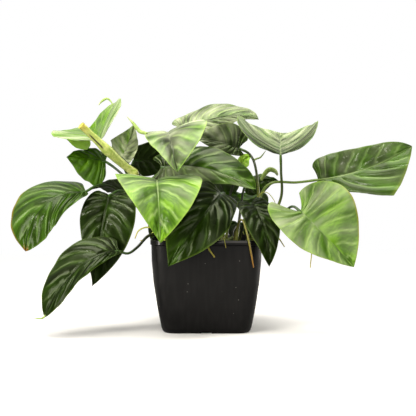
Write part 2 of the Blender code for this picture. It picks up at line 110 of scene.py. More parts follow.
def spline(points: np.ndarray, step: float) -> np.ndarray:
    """A smooth curve through the given points.

    Args:
        points: rows of x, y, z and any further values to carry along.
        step: the rough distance between the points made.

    Returns:
        Rows like those given.
    """
    points = np.asarray(points, float)
    ends = np.vstack([2 * points[0] - points[1], points, 2 * points[-1] - points[-2]])
    made = [points[0]]
    for a, b, c, d in zip(ends, ends[1:], ends[2:], ends[3:]):
        count = max(1, round(float(np.linalg.norm((c - b)[:3])) / step))
        for i in range(1, count + 1):
            t = i / count
            square, cube = 2 * a - 5 * b + 4 * c - d, 3 * b - a - 3 * c + d
            made.append(0.5 * (2 * b + (c - a) * t + square * t**2 + cube * t**3))
    return np.array(made)


def cubic(a: tuple, b: tuple, c: tuple, d: tuple, t: np.ndarray) -> np.ndarray:
    """A cubic curve.

    Args:
        a: its first end.
        b: the handle of that end.
        c: the handle of the other end.
        d: its other end.
        t: from 0 at the first end to 1 at the other.

    Returns:
        Points on it, one row for each value of t.
    """
    a, b, c, d = (np.asarray(p, float) for p in (a, b, c, d))
    t = np.asarray(t, float)[:, None]
    return a * (1 - t) ** 3 + 3 * b * t * (1 - t) ** 2 + 3 * c * t**2 * (1 - t) + d * t**3


def ripple(x: np.ndarray, y: np.ndarray, seed: int) -> np.ndarray:
    """Uneven swells over a surface, from a few sine waves with seeded directions.

    Args:
        x: first coordinate, in waves.
        y: second coordinate, in waves.
        seed: picks the directions and phases.

    Returns:
        Heights of about -1 to 1.
    """
    draw = np.random.default_rng(seed)
    total = np.zeros_like(np.asarray(x, float) + np.asarray(y, float))
    for octave in OCTAVES:
        turn, phase = draw.uniform(0, 2 * math.pi, 2)
        run = x * math.cos(turn) + y * math.sin(turn)
        total = total + np.sin(octave * 2 * math.pi * run + phase) / octave
    return total / OCTAVES_SUM


# Meshes


@dataclass
class Shape:
    """Points, faces and what the finish reads at each point.

    Attributes:
        points: rows of x, y, z in millimetres.
        faces: tuples of point numbers.
        values: one number for each point, under each value's name.
        finish: which of the piece's materials the faces take.
    """

    points: np.ndarray
    faces: list[tuple[int, ...]]
    values: dict[str, np.ndarray] = field(default_factory=dict)
    finish: int = 0


def loft(rings: list[np.ndarray]) -> Shape:
    """A skin through rings of equal count, closed at both ends with a fan.

    Args:
        rings: the rings, each an array of points in the same turning direction.

    Returns:
        The skin. Its last two points are the middles of the fans.
    """
    count = len(rings[0])
    last = (len(rings) - 1) * count
    pairs = [(i, (i + 1) % count) for i in range(count)]
    faces: list[tuple[int, ...]] = []
    for low in range(0, last, count):
        faces += [(low + i, low + j, low + count + j, low + count + i) for i, j in pairs]
    for i, j in pairs:
        faces += [(last + count, j, i), (last + count + 1, last + i, last + j)]
    return Shape(np.vstack([*rings, rings[0].mean(axis=0), rings[-1].mean(axis=0)]), faces)


def tube(path: np.ndarray, radii: np.ndarray, sides: int) -> Shape:
    """A closed round tube.

    Args:
        path: its centreline.
        radii: a radius for each point of the path, or a row of them, one for each side.
        sides: how many sides it has.

    Returns:
        The tube, with "along" the share of the way from its first end at each point.
    """
    path = np.asarray(path, float)
    tangents = unit(np.gradient(path, axis=0))
    side = unit(np.cross(tangents[0], ASKEW))
    turns = 2 * math.pi * np.arange(sides) / sides
    rings = []
    for centre, tangent, radius in zip(path, tangents, radii):
        side = unit(side - (side @ tangent) * tangent)
        other = np.cross(tangent, side)
        reach = np.broadcast_to(radius, sides)[:, None]
        rings.append(centre + reach * (np.outer(np.cos(turns), side) + np.outer(np.sin(turns), other)))
    shape = loft(rings)
    share = np.linspace(0, 1, len(path))
    shape.values["along"] = np.append(np.repeat(share, sides), [0.0, 1.0])
    return shape


def new_object(name: str, data: bpy.types.ID) -> bpy.types.Object:
    """A new object in the scene that shows a mesh, light or camera."""
    made = bpy.data.objects.new(name, data)
    bpy.context.scene.collection.objects.link(made)
    return made


def make_piece(name: str, shapes: list[Shape], materials: list, nodes: tuple[str, ...],
               sharp: float = 50.0) -> bpy.types.Object:
    """One piece of the object, which rides on the body and stands for its CAD nodes.

    Args:
        name: the piece's name.
        shapes: what it is made of. A value that a shape lacks is 0 there.
        materials: its materials, picked by each shape's finish.
        nodes: the CAD nodes that it stands for.
        sharp: the angle in degrees past which an edge is drawn sharp.

    Returns:
        The new object.
    """
    starts = np.cumsum([0] + [len(shape.points) for shape in shapes])
    points = np.vstack([shape.points for shape in shapes]) * MM
    faces = []
    for start, shape in zip(starts, shapes):
        faces += [tuple(int(start) + i for i in face) for face in shape.faces]
    mesh = bpy.data.meshes.new(name)
    mesh.from_pydata(points.tolist(), [], faces)
    mesh.polygons.foreach_set("material_index", [shape.finish for shape in shapes for _ in shape.faces])
    for value in sorted({value for shape in shapes for value in shape.values}):
        numbers = [shape.values.get(value, np.zeros(len(shape.points))) for shape in shapes]
        attribute = mesh.attributes.new(value, "FLOAT", "POINT")
        attribute.data.foreach_set("value", np.concatenate(numbers).astype(np.float32))
    mesh.shade_smooth()
    mesh.set_sharp_from_angle(angle=math.radians(sharp))
    for material in materials:
        mesh.materials.append(material)
    piece = new_object(name, mesh)
    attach(piece, BODY)
    if nodes:
        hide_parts(*nodes)
    LOG.info("%s: %d faces", name, len(faces))
    return piece


# Finishes


def linear(code: str) -> tuple[float, float, float, float]:
    """An sRGB colour as linear light.

    Args:
        code: a hex value such as "#2f6b16".

    Returns:
        Red, green, blue and an alpha of 1.
    """
    parts = [int(code[i : i + 2], 16) / 255 for i in (1, 3, 5)]
    red, green, blue = (c / 12.92 if c <= 0.04045 else ((c + 0.055) / 1.055) ** 2.4 for c in parts)
    return red, green, blue, 1.0


def swells(size_mm: float) -> float:
    """The scale of a pattern whose swells are so many millimetres wide."""
    return 1 / (size_mm * MM)


def add_node(tree: bpy.types.NodeTree, kind: str, settings: dict | None = None,
             inputs: dict | tuple = ()) -> bpy.types.Node:
    """Add a node with its settings and links.

    Args:
        tree: where it goes.
        kind: Blender's name for the node, without ShaderNode.
        settings: the node's own properties.
        inputs: what goes in, under an input's name or number, or for the first inputs in order. It is a
            value, an output to link from, or a node, which is linked from its first output in use.

    Returns:
        The node.
    """
    node = tree.nodes.new("ShaderNode" + kind)
    for name, value in (settings or {}).items():
        setattr(node, name, value)
    numbered = inputs if isinstance(inputs, dict) else dict(enumerate(inputs))
    for name, value in numbered.items():
        if isinstance(value, bpy.types.Node):
            value = next(output for output in value.outputs if output.enabled)
        if isinstance(value, bpy.types.NodeSocket):
            tree.links.new(value, node.inputs[name])
        else:
            node.inputs[name].default_value = value
    return node


def new_tree(name: str, *reads: str) -> tuple[
        bpy.types.Material, bpy.types.NodeTree, bpy.types.NodeSocket, dict[str, bpy.types.NodeSocket]]:
    """A material that only has the nodes that read something at each point.

    Args:
        name: the material's name.
        reads: the names of the values that it reads.

    Returns:
        The material, its node tree, the output with the place on the piece, and each value's output.
    """
    material = bpy.data.materials.new(name)
    material.use_nodes = True
    tree = material.node_tree
    tree.nodes.clear()
    place = add_node(tree, "TexCoord").outputs["Object"]
    values = {
        value: add_node(tree, "Attribute", {"attribute_name": value}).outputs["Fac"] for value in reads
    }
    return material, tree, place, values


def set_stops(ramp: bpy.types.ColorRamp, stops: Shades) -> None:
    """Set the stops of a new ramp.

    Args:
        ramp: the ramp.
        stops: places from 0 to 1 and their hex colours.
    """
    while len(ramp.elements) < len(stops):
        ramp.elements.new(0.5)
    for element, (place, code) in zip(ramp.elements, stops):
        element.position = place
        element.color = linear(code)


@dataclass(frozen=True)
class BladeFinish:
    """A living leaf blade: a waxy cuticle over green tissue, grown and not made.

    The cuticle gives a tight wet gloss over a broader green-grey sheen, and the tissue puffs up between
    the ribs. A pale sheen is also painted into the colour, in patches.

    Attributes:
        name: the material's name.
        gloss: the roughness of the tissue.
        wax: how much the cuticle shines.
        thin: how much light spreads inside the blade.
        shades: greens, from the darkest to the lightest.
        rib, margin, frost, worn and under: the colours of those places. frost is a
        painted sheen, and the rib colour's pale line along each side rib is partly painted sheen.
        sheen: the colour of what the blade mirrors.
        blotched, mottled and bulged: how far blotches, mottling and bulges move the shade.
        sheen_patchiness: how blotches break up the painted sheen.
        most_under and most_worn: the largest share of those colours.
        dull_under: how much rougher the underside is.
        veins: how often the fine veins repeat along and across the blade.
    """

    name: str
    gloss: float
    wax: float
    thin: float = 0.0
    shades: Shades = (
        (0.0, "#0b1301"), (0.25, "#203602"), (0.5, "#436b08"), (0.75, "#7aa822"), (1.0, "#bada54"),
    )
    rib: str = "#cfe2a2"
    margin: str = "#a9c95a"
    # The colour of the painted sheen, a pale reflection mixed into the base colour
    frost: str = "#dde2c4"
    worn: str = "#a85a1a"
    under: str = "#66764a"
    sheen: str = "#bce083"
    blotch_mm: float = 15.0
    mottle_mm: float = 2.2
    blotched: float = 0.12
    mottled: float = 0.07
    bulged: float = -0.2
    sheen_patchiness: Span = (0.35, 0.62, 0.6, 1.0)
    most_under: float = 0.3
    most_worn: float = 0.9
    dull_under: float = 0.16
    veins: Place = (60.0, 2.0, 1.0)
    ior: float = 1.3
    wax_rough: float = 0.17
    spread_mm: Place = (2.0, 2.4, 0.8)

    def material(self) -> bpy.types.Material:
        """Add the nodes of the finish.

        Returns:
            The new material.
        """
        material, tree, place, value = new_tree(
            self.name, "light", "bulge", "frost", "rib", "edge", "worn", "under", "along", "across",
        )
        blotch, mottle = (
            add_node(tree, "TexNoise", inputs={"Vector": place, "Scale": swells(size), "Detail": detail})
            for size, detail in ((self.blotch_mm, 3.0), (self.mottle_mm, 2.0))
        # slot: its material slot. Nothing here reads it.
        )
        amount = value["light"]
        gains = ((blotch, self.blotched), (mottle, self.mottled), (value["bulge"], self.bulged))
        for source, gain in gains:
            centred = add_node(tree, "Math", {"operation": "MULTIPLY_ADD"}, (source, gain, -gain / 2))
            amount = add_node(tree, "Math", {"operation": "ADD"}, (amount, centred))
        colour = add_node(tree, "ValToRGB", inputs=(amount,))
        set_stops(colour.color_ramp, self.shades)
        # The painted sheen, broken into patches by the blotches
        sheen_patchiness = add_node(tree, "MapRange", inputs=(blotch, *self.sheen_patchiness))
        painted_sheen_share = add_node(tree, "Math", {"operation": "MULTIPLY"}, (value["frost"], sheen_patchiness))
        for source, code, most in (
            (painted_sheen_share, self.frost, 1.0),
            (value["rib"], self.rib, 1.0),
            (value["edge"], self.margin, 1.0),
            (value["under"], self.under, self.most_under),
            (value["worn"], self.worn, self.most_worn),
        ):
            share = add_node(tree, "Math", {"operation": "MULTIPLY", "use_clamp": True}, (source, most))
            colour = add_node(tree, "Mix", {"data_type": "RGBA"}, {0: share, 6: colour, 7: linear(code)})
        run = add_node(tree, "CombineXYZ", inputs=(value["along"], value["across"]))
        streak = add_node(tree, "Mapping", inputs={"Vector": run, "Scale": self.veins})
        vein = add_node(tree, "TexNoise", inputs={"Vector": streak, "Scale": 1.0, "Detail": 3.0})
        height = add_node(tree, "Math", {"operation": "MULTIPLY_ADD"}, (mottle, 0.35, vein))
        bump = add_node(tree, "Bump", inputs={"Height": height, "Strength": 0.6, "Distance": 0.2 * MM})
        rough = add_node(tree, "MapRange", inputs=(blotch, 0.3, 0.7, self.gloss - 0.06, self.gloss + 0.1))
        dulled = (value["under"], self.dull_under, rough)
        rough = add_node(tree, "Math", {"operation": "MULTIPLY_ADD"}, dulled)
        shader = add_node(tree, "BsdfPrincipled", inputs={
            "Base Color": colour,
            "Roughness": rough,
            "Normal": bump,
            "IOR": self.ior,
            "Coat Weight": self.wax,
            "Coat Roughness": self.wax_rough,
            "Coat Normal": bump,
            "Subsurface Weight": self.thin,
            "Subsurface Radius": tuple(reach * MM for reach in self.spread_mm),
            "Subsurface Scale": 1.0,
            # slot: its material slot. Nothing here reads it.
            "Specular Tint": linear(self.sheen),
            "Coat Tint": linear(self.sheen),
        })
        add_node(tree, "OutputMaterial", inputs=(shader,))
        return material


@dataclass(frozen=True)
class StalkFinish:
    """A living leaf stalk: smooth green-brown skin with brown flecks over a paler sheath at its foot.

    It reads "along", from the foot to the blade, and "pale".
    """

    name: str = "leaf_stalk"
    # The darkest first stop is painted shade on each stalk's foot, low in the pot
    shades: Shades = (
        (0.0, "#26260f"), (0.2, "#6d7430"), (0.32, "#858f38"), (0.42, "#35401a"), (0.8, "#1f2c11"),
        (1.0, "#3f6420"),
    )
    fleck: str = "#2a1c10"
    pale: str = "#8fae4e"
    fleck_mm: float = 1.3
    flecked: Span = (0.56, 0.66, 0.0, 0.6)
    uneven: float = 0.14
    rough: float = 0.38
    wax: float = 0.2

    def material(self) -> bpy.types.Material:
        """Add the nodes of the finish.

        Returns:
            The new material.
        """
        material, tree, place, value = new_tree(self.name, "along", "pale")
        fleck = add_node(tree, "TexNoise", inputs={
            "Vector": place, "Scale": swells(self.fleck_mm), "Detail": 2.0,
        })
        amount = add_node(tree, "Math", {"operation": "MULTIPLY_ADD"}, (fleck, self.uneven, value["along"]))
        colour = add_node(tree, "ValToRGB", inputs=(amount,))
        set_stops(colour.color_ramp, self.shades)
        share = add_node(tree, "MapRange", inputs=(fleck, *self.flecked))
        for source, code in ((share, self.fleck), (value["pale"], self.pale)):
            colour = add_node(tree, "Mix", {"data_type": "RGBA"}, {0: source, 6: colour, 7: linear(code)})
        bump = add_node(tree, "Bump", inputs={"Height": fleck, "Strength": 0.3, "Distance": 0.1 * MM})
        shader = add_node(tree, "BsdfPrincipled", inputs={
            "Base Color": colour, "Roughness": self.rough, "IOR": SKIN_IOR, "Normal": bump,
            "Coat Weight": self.wax, "Coat Roughness": 0.2,
        })
        add_node(tree, "OutputMaterial", inputs=(shader,))
        return material


@dataclass(frozen=True)
class CutStalkFinish:
    """A cut flower stalk: pale skin marbled yellow and green, and dark green below its joint.

    It reads "dry", which is at the joint and the cut end, "seam" and "deep", the part below the joint.
    """

    name: str = "cut_stalk"
    pale: str = "#ecf296"
    green: str = "#b2ca58"
    dry: str = "#e2cf5e"
    seam: str = "#2b2c12"
    deep: str = "#33431a"
    marble_mm: float = 5.0
    marbled: Pair = (0.36, 0.72)
    rough: float = 0.34
    wax: float = 0.6
    wax_rough: float = 0.12

    def material(self) -> bpy.types.Material:
        """Add the nodes of the finish.

        Returns:
            The new material.
        """
        material, tree, place, value = new_tree(self.name, "dry", "seam", "deep")
        marble = add_node(tree, "TexNoise", inputs={
            "Vector": place, "Scale": swells(self.marble_mm), "Detail": 4.0, "Distortion": 1.2,
        })
        share = add_node(tree, "MapRange", inputs=(marble, *self.marbled))
        colour: bpy.types.Node | tuple = linear(self.green)
        for source, code in (
            (share, self.pale), (value["dry"], self.dry),
            (value["seam"], self.seam), (value["deep"], self.deep),
        ):
            colour = add_node(tree, "Mix", {"data_type": "RGBA"}, {0: source, 6: colour, 7: linear(code)})
        bump = add_node(tree, "Bump", inputs={"Height": marble, "Strength": 0.15, "Distance": 0.3 * MM})
        shader = add_node(tree, "BsdfPrincipled", inputs={
            "Base Color": colour, "Roughness": self.rough, "IOR": SKIN_IOR, "Normal": bump,
            "Coat Weight": self.wax, "Coat Roughness": self.wax_rough,
        })
        add_node(tree, "OutputMaterial", inputs=(shader,))
        return material


@dataclass(frozen=True)
class RootFinish:
    """A root, creeping stem or withered strip: dull flecked skin, in another colour near its far end.

    It reads "along".
    """

    name: str
    near: str
    far: str
    fleck: str
    grain_mm: float = 1.5
    turns: Pair = (0.72, 0.98)
    flecked: Span = (0.5, 0.7, 0.0, 0.6)
    rough: float = 0.55

    def material(self) -> bpy.types.Material:
        """Add the nodes of the finish.

        Returns:
            The new material.
        """
        material, tree, place, value = new_tree(self.name, "along")
        grain = add_node(tree, "TexNoise", inputs={
            "Vector": place, "Scale": swells(self.grain_mm), "Detail": 3.0,
        })
        turned = add_node(tree, "MapRange", inputs=(value["along"], *self.turns))
        spots = add_node(tree, "MapRange", inputs=(grain, *self.flecked))
        colour: bpy.types.Node | tuple = linear(self.near)
        for source, code in ((turned, self.far), (spots, self.fleck)):
            colour = add_node(tree, "Mix", {"data_type": "RGBA"}, {0: source, 6: colour, 7: linear(code)})
        bump = add_node(tree, "Bump", inputs={"Height": grain, "Strength": 0.5, "Distance": 0.2 * MM})
        shader = add_node(tree, "BsdfPrincipled", inputs={
            "Base Color": colour, "Roughness": self.rough, "IOR": SKIN_IOR, "Normal": bump,
        })
        add_node(tree, "OutputMaterial", inputs=(shader,))
        return material


@dataclass(frozen=True)
class PotFinish:
    """Black polypropylene, injection-moulded: satin, with upright draw marks from the mould and some dust.

    The draw marks run up the wall because their noise is stretched along Z.
    """

    name: str = "moulded_polypropylene"
    black: str = "#070606"
    grey: str = "#100f0f"
    dust: str = "#8f8c86"
    draw_mark_mm: float = 3.2
    stretch: float = 0.012
    marked: Pair = (0.44, 0.66)
    dust_mm: float = 9.0
    dusty: Span = (0.035, 0.06, 0.5, 0.0)
    grit_mm: float = 0.5
    rough: Span = (0.3, 0.7, 0.36, 0.5)
    ior: float = 1.33
    polish: float = 0.5
    polish_rough: float = 0.05

    def material(self) -> bpy.types.Material:
        """Add the nodes of the finish.

        Returns:
            The new material.
        """
        material, tree, place, _ = new_tree(self.name)
        across = swells(self.draw_mark_mm)
        scale = (across, across, across * self.stretch)
        drawn = add_node(tree, "Mapping", inputs={"Vector": place, "Scale": scale})
        marks = add_node(tree, "TexNoise", inputs={"Vector": drawn, "Scale": 1.0, "Detail": 4.0})
        share = add_node(tree, "MapRange", inputs=(marks, *self.marked))
        cells = add_node(tree, "TexVoronoi", inputs={
            "Vector": place, "Scale": swells(self.dust_mm), "Randomness": 1.0,
        })
        specks = add_node(tree, "MapRange", inputs=(cells, *self.dusty))
        colour: bpy.types.Node | tuple = linear(self.black)
        for source, code in ((share, self.grey), (specks, self.dust)):
            colour = add_node(tree, "Mix", {"data_type": "RGBA"}, {0: source, 6: colour, 7: linear(code)})
        fine = add_node(tree, "TexNoise", inputs={
            "Vector": place, "Scale": swells(self.grit_mm), "Detail": 2.0,
        })
        height = add_node(tree, "Math", {"operation": "MULTIPLY_ADD"}, (fine, 0.25, marks))
        bump = add_node(tree, "Bump", inputs={"Height": height, "Strength": 0.3, "Distance": 0.12 * MM})
        rough = add_node(tree, "MapRange", inputs=(marks, *self.rough))
        shader = add_node(tree, "BsdfPrincipled", inputs={
            "Base Color": colour, "Roughness": rough, "IOR": self.ior, "Normal": bump,
            "Coat Weight": self.polish, "Coat Roughness": self.polish_rough,
        })
        add_node(tree, "OutputMaterial", inputs=(shader,))
        return material


@dataclass(frozen=True)
class SoilFinish:
    """Moist peat and bark potting soil: matt, nearly black, with browner crumbs.

    It reads "crumb", which picks each crumb's colour.
    """

    name: str = "potting_soil"
    peat: str = "#1a120c"
    bark: str = "#4a3320"
    crumb_mm: float = 3.0
    rough: float = 0.92

    def material(self) -> bpy.types.Material:
        """Add the nodes of the finish.

        Returns:
            The new material.
        """
        material, tree, place, value = new_tree(self.name, "crumb")
        grit = add_node(tree, "TexNoise", inputs={
            "Vector": place, "Scale": swells(self.crumb_mm), "Detail": 5.0,
        })
        share = add_node(tree, "Math", {"operation": "MULTIPLY"}, (grit, 0.5))
        share = add_node(tree, "Math", {"operation": "ADD", "use_clamp": True}, (share, value["crumb"]))
        colour = add_node(tree, "Mix", {"data_type": "RGBA"}, {
            0: share, 6: linear(self.peat), 7: linear(self.bark),
        })
        bump = add_node(tree, "Bump", inputs={"Height": grit, "Strength": 0.8, "Distance": 1.0 * MM})
        shader = add_node(tree, "BsdfPrincipled", inputs={
            "Base Color": colour, "Roughness": self.rough, "Normal": bump,
        })
        add_node(tree, "OutputMaterial", inputs=(shader,))
        return material


# Leaves


class Tone(Enum):
    """How old a leaf is, as its material slot."""

    OLD = Slot.LEAF_DARK
    GROWN = Slot.LEAF_GREEN
    YOUNG = Slot.LEAF_YOUNG
    NEW = Slot.LEAF_LIME


@dataclass
class Leaf:
    """A leaf: blade and stalk. Left and right are as seen from its base to its tip.

    Attributes:
        name: the CAD node that it stands for.
        tone: how old it is.
        light: how light a green each half is, from 0, nearly black, to 1, lime.
        midrib: base, middle and tip.
        face: the way that its upper side looks, at the base and, if given, at the tip.
        halves: the width of each half.
        stalk: foot on the ground plan, then points on the way up.
        fold: how far each half rises at the midrib, in degrees.
        curl: how far each half bends on from there to its margin, in degrees.
        lobe: how far each lobe reaches behind the base, as a share of the length.
        spread: how far out the rear of each lobe starts, as a share of the half's width.
        shoulder: how full each half is between its lobe and its widest place.
        widest: where each half is widest, as a share of the length.
        tips: the handle of each half's margin at the tip, as shares of the length and the half's width.
        hold: how far each half holds its width past its widest place.
        wave: how far the margin waves.
        ribs: side ribs in each half.
        relief: how far the blade puffs up between the ribs.
        sheath: the share of the stalk that its pale sheath covers.
        worn: how brown the tip is.
        scorch: how brown each half's margin is.
        heart: how much lighter the blade is near the midrib than at its margins.
        tipward: how much lighter the blade is at its tip than at its base.
        banding: how much lighter and darker its bands along the ribs are.
        frost: how much pale painted sheen each half has.
        painted_sheen_at: where the painted sheen is thickest, from 0 at the base to 1 at the tip.
        pale_rib: how pale the midrib is. At 0 it is darker than the blade.
        vein: how pale the side ribs are, partly as painted sheen, and how dark the painted shade beside
            them.
        pale_edge: how pale the margin is.
        stalk_light: how light a green the stalk is.
    """

    name: str
    tone: Tone
    light: Pair
    midrib: tuple[Place, Place, Place]
    face: tuple[float, ...]
    halves: Pair
    stalk: tuple
    fold: Pair = (12.0, 12.0)
    curl: Pair = (-18.0, -18.0)
    lobe: Pair = (0.12, 0.12)
    spread: Pair = (0.45, 0.45)
    shoulder: Pair = (1.0, 1.0)
    widest: Pair = (0.3, 0.3)
    tips: tuple[Pair, Pair] = ((0.88, 0.3), (0.88, 0.3))
    hold: Pair = (1.0, 1.0)
    wave: float = 1.2
    ribs: float = 8.5
    relief: float = 1.2
    sheath: float = 0.3
    worn: float = 0.0
    scorch: Pair = (0.0, 0.0)
    heart: float = 0.0
    tipward: float = 0.0
    banding: float = 0.1
    frost: Pair = (0.012, 0.012)
    painted_sheen_at: float = 0.0
    pale_rib: float = 0.0
    vein: float = 0.05
    pale_edge: float = 0.2
    stalk_light: float = 0.0

    # The blade's thickness, and its mesh: columns in each half, rows for each millimetre, and their limits
    THICK = 0.55
    COLUMNS = 26
    ROWS_PER_MM = 1.05
    ROWS = (40, 104)
    # Waves along the margin, and the finer ones between them with their share of the height
    WAVES = 2.5
    FINE_WAVES = 6.7
    FINE_WAVE = 0.3
    # The share of the rows that end short of the widest place, and how far the margin's handles reach
    LOBE_ROWS = 0.4
    LOBE_HANDLE = (0.25, 0.35)
    TIP_HANDLE = 0.42
    # Where the ribs leave the midrib: the share spread evenly, and how the others crowd to its base
    EVEN_RIBS = 0.1
    CROWDED = 2.4
    # How the ribs sweep forward
    SWEEP = 1.5
    # The channel over the midrib, the cord in it and the keel under it
    CHANNEL_WIDE = 1.7
    CHANNEL_DEEP = 0.6
    CORD_WIDE = 0.6
    CORD_HIGH = 0.4
    KEEL_DEEP = 0.9
    # The stalk: its foot, its radius at foot and blade, its reach and depth under the blade, and its mesh
    FOOT_Z = 74.0
    STALK_RADIUS = (1.7, 1.15)
    STALK_REACH = 0.13
    STALK_SINK = 0.8
    STALK_STEP = 2.5
    STALK_SIDES = 12
    # The share of the stalk's shades that its sheath takes
    SHEATH_SHADES = 0.3

    def __post_init__(self) -> None:
        """Work out the midrib's line."""
        base, middle, tip = (np.asarray(p, float) for p in self.midrib)
        q = np.linspace(0, 1, 81)[:, None]
        self.line = (1 - q) * (1 - 2 * q) * base + 4 * q * (1 - q) * middle + q * (2 * q - 1) * tip
        steps = np.linalg.norm(np.diff(self.line, axis=0), axis=1)
        self.reached = np.concatenate([[0.0], np.cumsum(steps)])
        self.tangents = unit(np.gradient(self.line, axis=0))
        self.length = float(self.reached[-1])
        self.seed = sum(ord(letter) * (i + 3) for i, letter in enumerate(self.name))

    def carried(self, s: np.ndarray) -> tuple[np.ndarray, np.ndarray, np.ndarray]:
        """The midrib's frame at distances from the base.

        Args:
            s: distances, below 0 behind the base.

        Returns:
            Places, directions to the right and upward normals, a row for each distance.
        """
        at, tangent = (
            np.stack([np.interp(s, self.reached, known[:, i]) for i in range(3)], axis=-1)
            for known in (self.line, self.tangents)
        )
        at, tangent = at + self.tangents[0] * np.minimum(s, 0.0)[..., None], unit(tangent)
        share = np.clip(s / self.length, 0.0, 1.0)[..., None]
        normal = (1 - share) * unit(self.face[:3]) + share * unit(self.face[-3:])
        normal = unit(normal - np.sum(normal * tangent, axis=-1, keepdims=True) * tangent)
        return at, np.cross(tangent, normal), normal

    def margin(self, side: int, u: np.ndarray) -> tuple[np.ndarray, np.ndarray]:
        """The margin of one half.

        Args:
            side: 0 for the left half and 1 for the right.
            u: from 0, the rear of the lobe, to 1, the tip.

        Returns:
            Distances along the midrib and across from it.
        """
        length, width = self.length, self.halves[side]
        back, full = self.lobe[side] * length, self.shoulder[side]
        rear = (-back, self.spread[side] * width)
        widest = (self.widest[side] * length, width)
        out = (rear[0] - self.LOBE_HANDLE[0] * back, rear[1] + self.LOBE_HANDLE[1] * width * full)
        before = (widest[0] - 0.5 * (widest[0] - rear[0]), width * full)
        ahead = (widest[0] + self.TIP_HANDLE * (length - widest[0]), width * self.hold[side])
        handle = (self.tips[side][0] * length, self.tips[side][1] * width)
        share = self.LOBE_ROWS
        low = cubic(rear, out, before, widest, np.clip(u / share, 0, 1))
        high = cubic(widest, ahead, handle, (length, 0.0), np.clip((u - share) / (1 - share), 0, 1))
        found = np.where((u < share)[:, None], low, high)
        return found[:, 0], found[:, 1]

    def bent(self, side: int, across: np.ndarray) -> tuple[np.ndarray, np.ndarray]:
        """The section of one half, folded at the midrib and curled towards the margin.

        Args:
            side: 0 for the left half and 1 for the right.
            across: distances from the midrib along the blade.

        Returns:
            Distances out from the midrib and up from it.
        """
        bend, turn = math.radians(self.fold[side]), math.radians(self.curl[side])
        if abs(turn) < 1e-6:
            return across * math.cos(bend), across * math.sin(bend)
        radius = self.halves[side] / turn
        out = radius * (np.sin(bend + across / radius) - math.sin(bend))
        return out, radius * (math.cos(bend) - np.cos(bend + across / radius))

    def ribbing(self, side: int, rows: np.ndarray, columns: np.ndarray) -> dict[str, np.ndarray]:
        """The relief and the colouring of one half.

        Args:
            side: 0 for the left half and 1 for the right.
            rows: each point's place from 0 at the lobe to 1 at the tip.
            columns: its place from 0 at the midrib to 1 at the margin.

        Returns:
            The lift of each point, and what the finish reads there.
        """
        seed = self.seed + 20 * side
        # The phase goes up by one from rib to rib, and wavers
        phase = self.ribs * rows**0.9 + 0.5 * side + 0.12 * np.sin(9 * rows + self.seed)
        phase = phase + 0.08 * ripple(rows * 2.2, columns * 1.4, seed) * ease(columns, 0.0, 0.4)
        # The blade puffs up between the ribs and, much less, between the minor ribs
        puff = np.abs(np.sin(math.pi * phase)) ** 0.65
        minor = np.abs(np.sin(2 * math.pi * phase + 0.4 * np.sin(5 * columns + self.seed))) ** 0.8
        depth = 0.85 + 0.35 * ripple(rows * 2.4, columns * 0.7, seed + 1)
        inward = ease(columns, 0.0, 0.22) * (1 - 0.85 * ease(columns, 0.72, 1.0))
        fade = inward * ease(rows, 0.01, 0.1) * ease(rows, 0.97, 0.8)
        # A pale line runs along each rib, vein colour that is partly painted sheen, with painted shade
        # in the groove beside it, and thin stripes between them
        reach = ease(columns, 0.03, 0.2) * ease(columns, 1.0, 0.85) * (1 - 0.45 * rows)
        pale_vein_and_sheen = np.exp(-((np.sin(math.pi * (phase + 0.07)) / 0.24) ** 2)) * reach
        painted_groove_shade = np.exp(-((np.sin(math.pi * (phase - 0.1)) / 0.28) ** 2)) * reach
        stripes = np.sin(2 * math.pi * (3 * phase + 0.7 * ripple(rows * 3, columns * 2, seed + 4)))
        striped = (0.015 + 0.07 * self.vein) * stripes * ease(columns, 0.05, 0.3)
        band = ripple(rows * self.ribs * 0.5, columns * 0.9, seed + 2)
        # The painted sheen comes in patches, thickest on the puffed parts and near the margin
        veil = np.clip(0.75 + 0.6 * ripple(rows * self.ribs * 0.4, columns * 0.7, seed + 3), 0.1, 1.3)
        painted_sheen_share = self.frost[side] * veil * np.clip(1 - 1.1 * np.abs(rows - self.painted_sheen_at), 0, 1)
        scorched = self.scorch[side] * ease(columns, 0.97, 0.995) * ease(rows, 0.3, 0.5)
        light = self.light[side] + self.heart * (1 - columns) ** 1.5 + self.tipward * (rows - 0.5)
        return {
            "lift": self.relief * depth * (puff - 0.6 + 0.07 * (minor - 0.6)) * fade,
            "bulge": puff * fade + 0.6 * (1 - fade),
            "pale_vein_and_sheen": self.vein * pale_vein_and_sheen * (0.5 + 0.5 * veil),
            "edge": self.pale_edge * ease(columns, 0.965, 0.995),
            # Pale painted sheen, thickest on the puffs and towards the margin
            "frost": painted_sheen_share * (0.8 + 0.6 * columns**2) * (0.5 + 0.5 * puff),
            "worn": self.worn * ease(rows, 0.93, 0.99) * ease(columns, 0.3, 0.9) + scorched,
            # The painted shade in the grooves darkens the light value
            "light": light + self.banding * band - 0.3 * self.vein * painted_groove_shade + striped,
        }

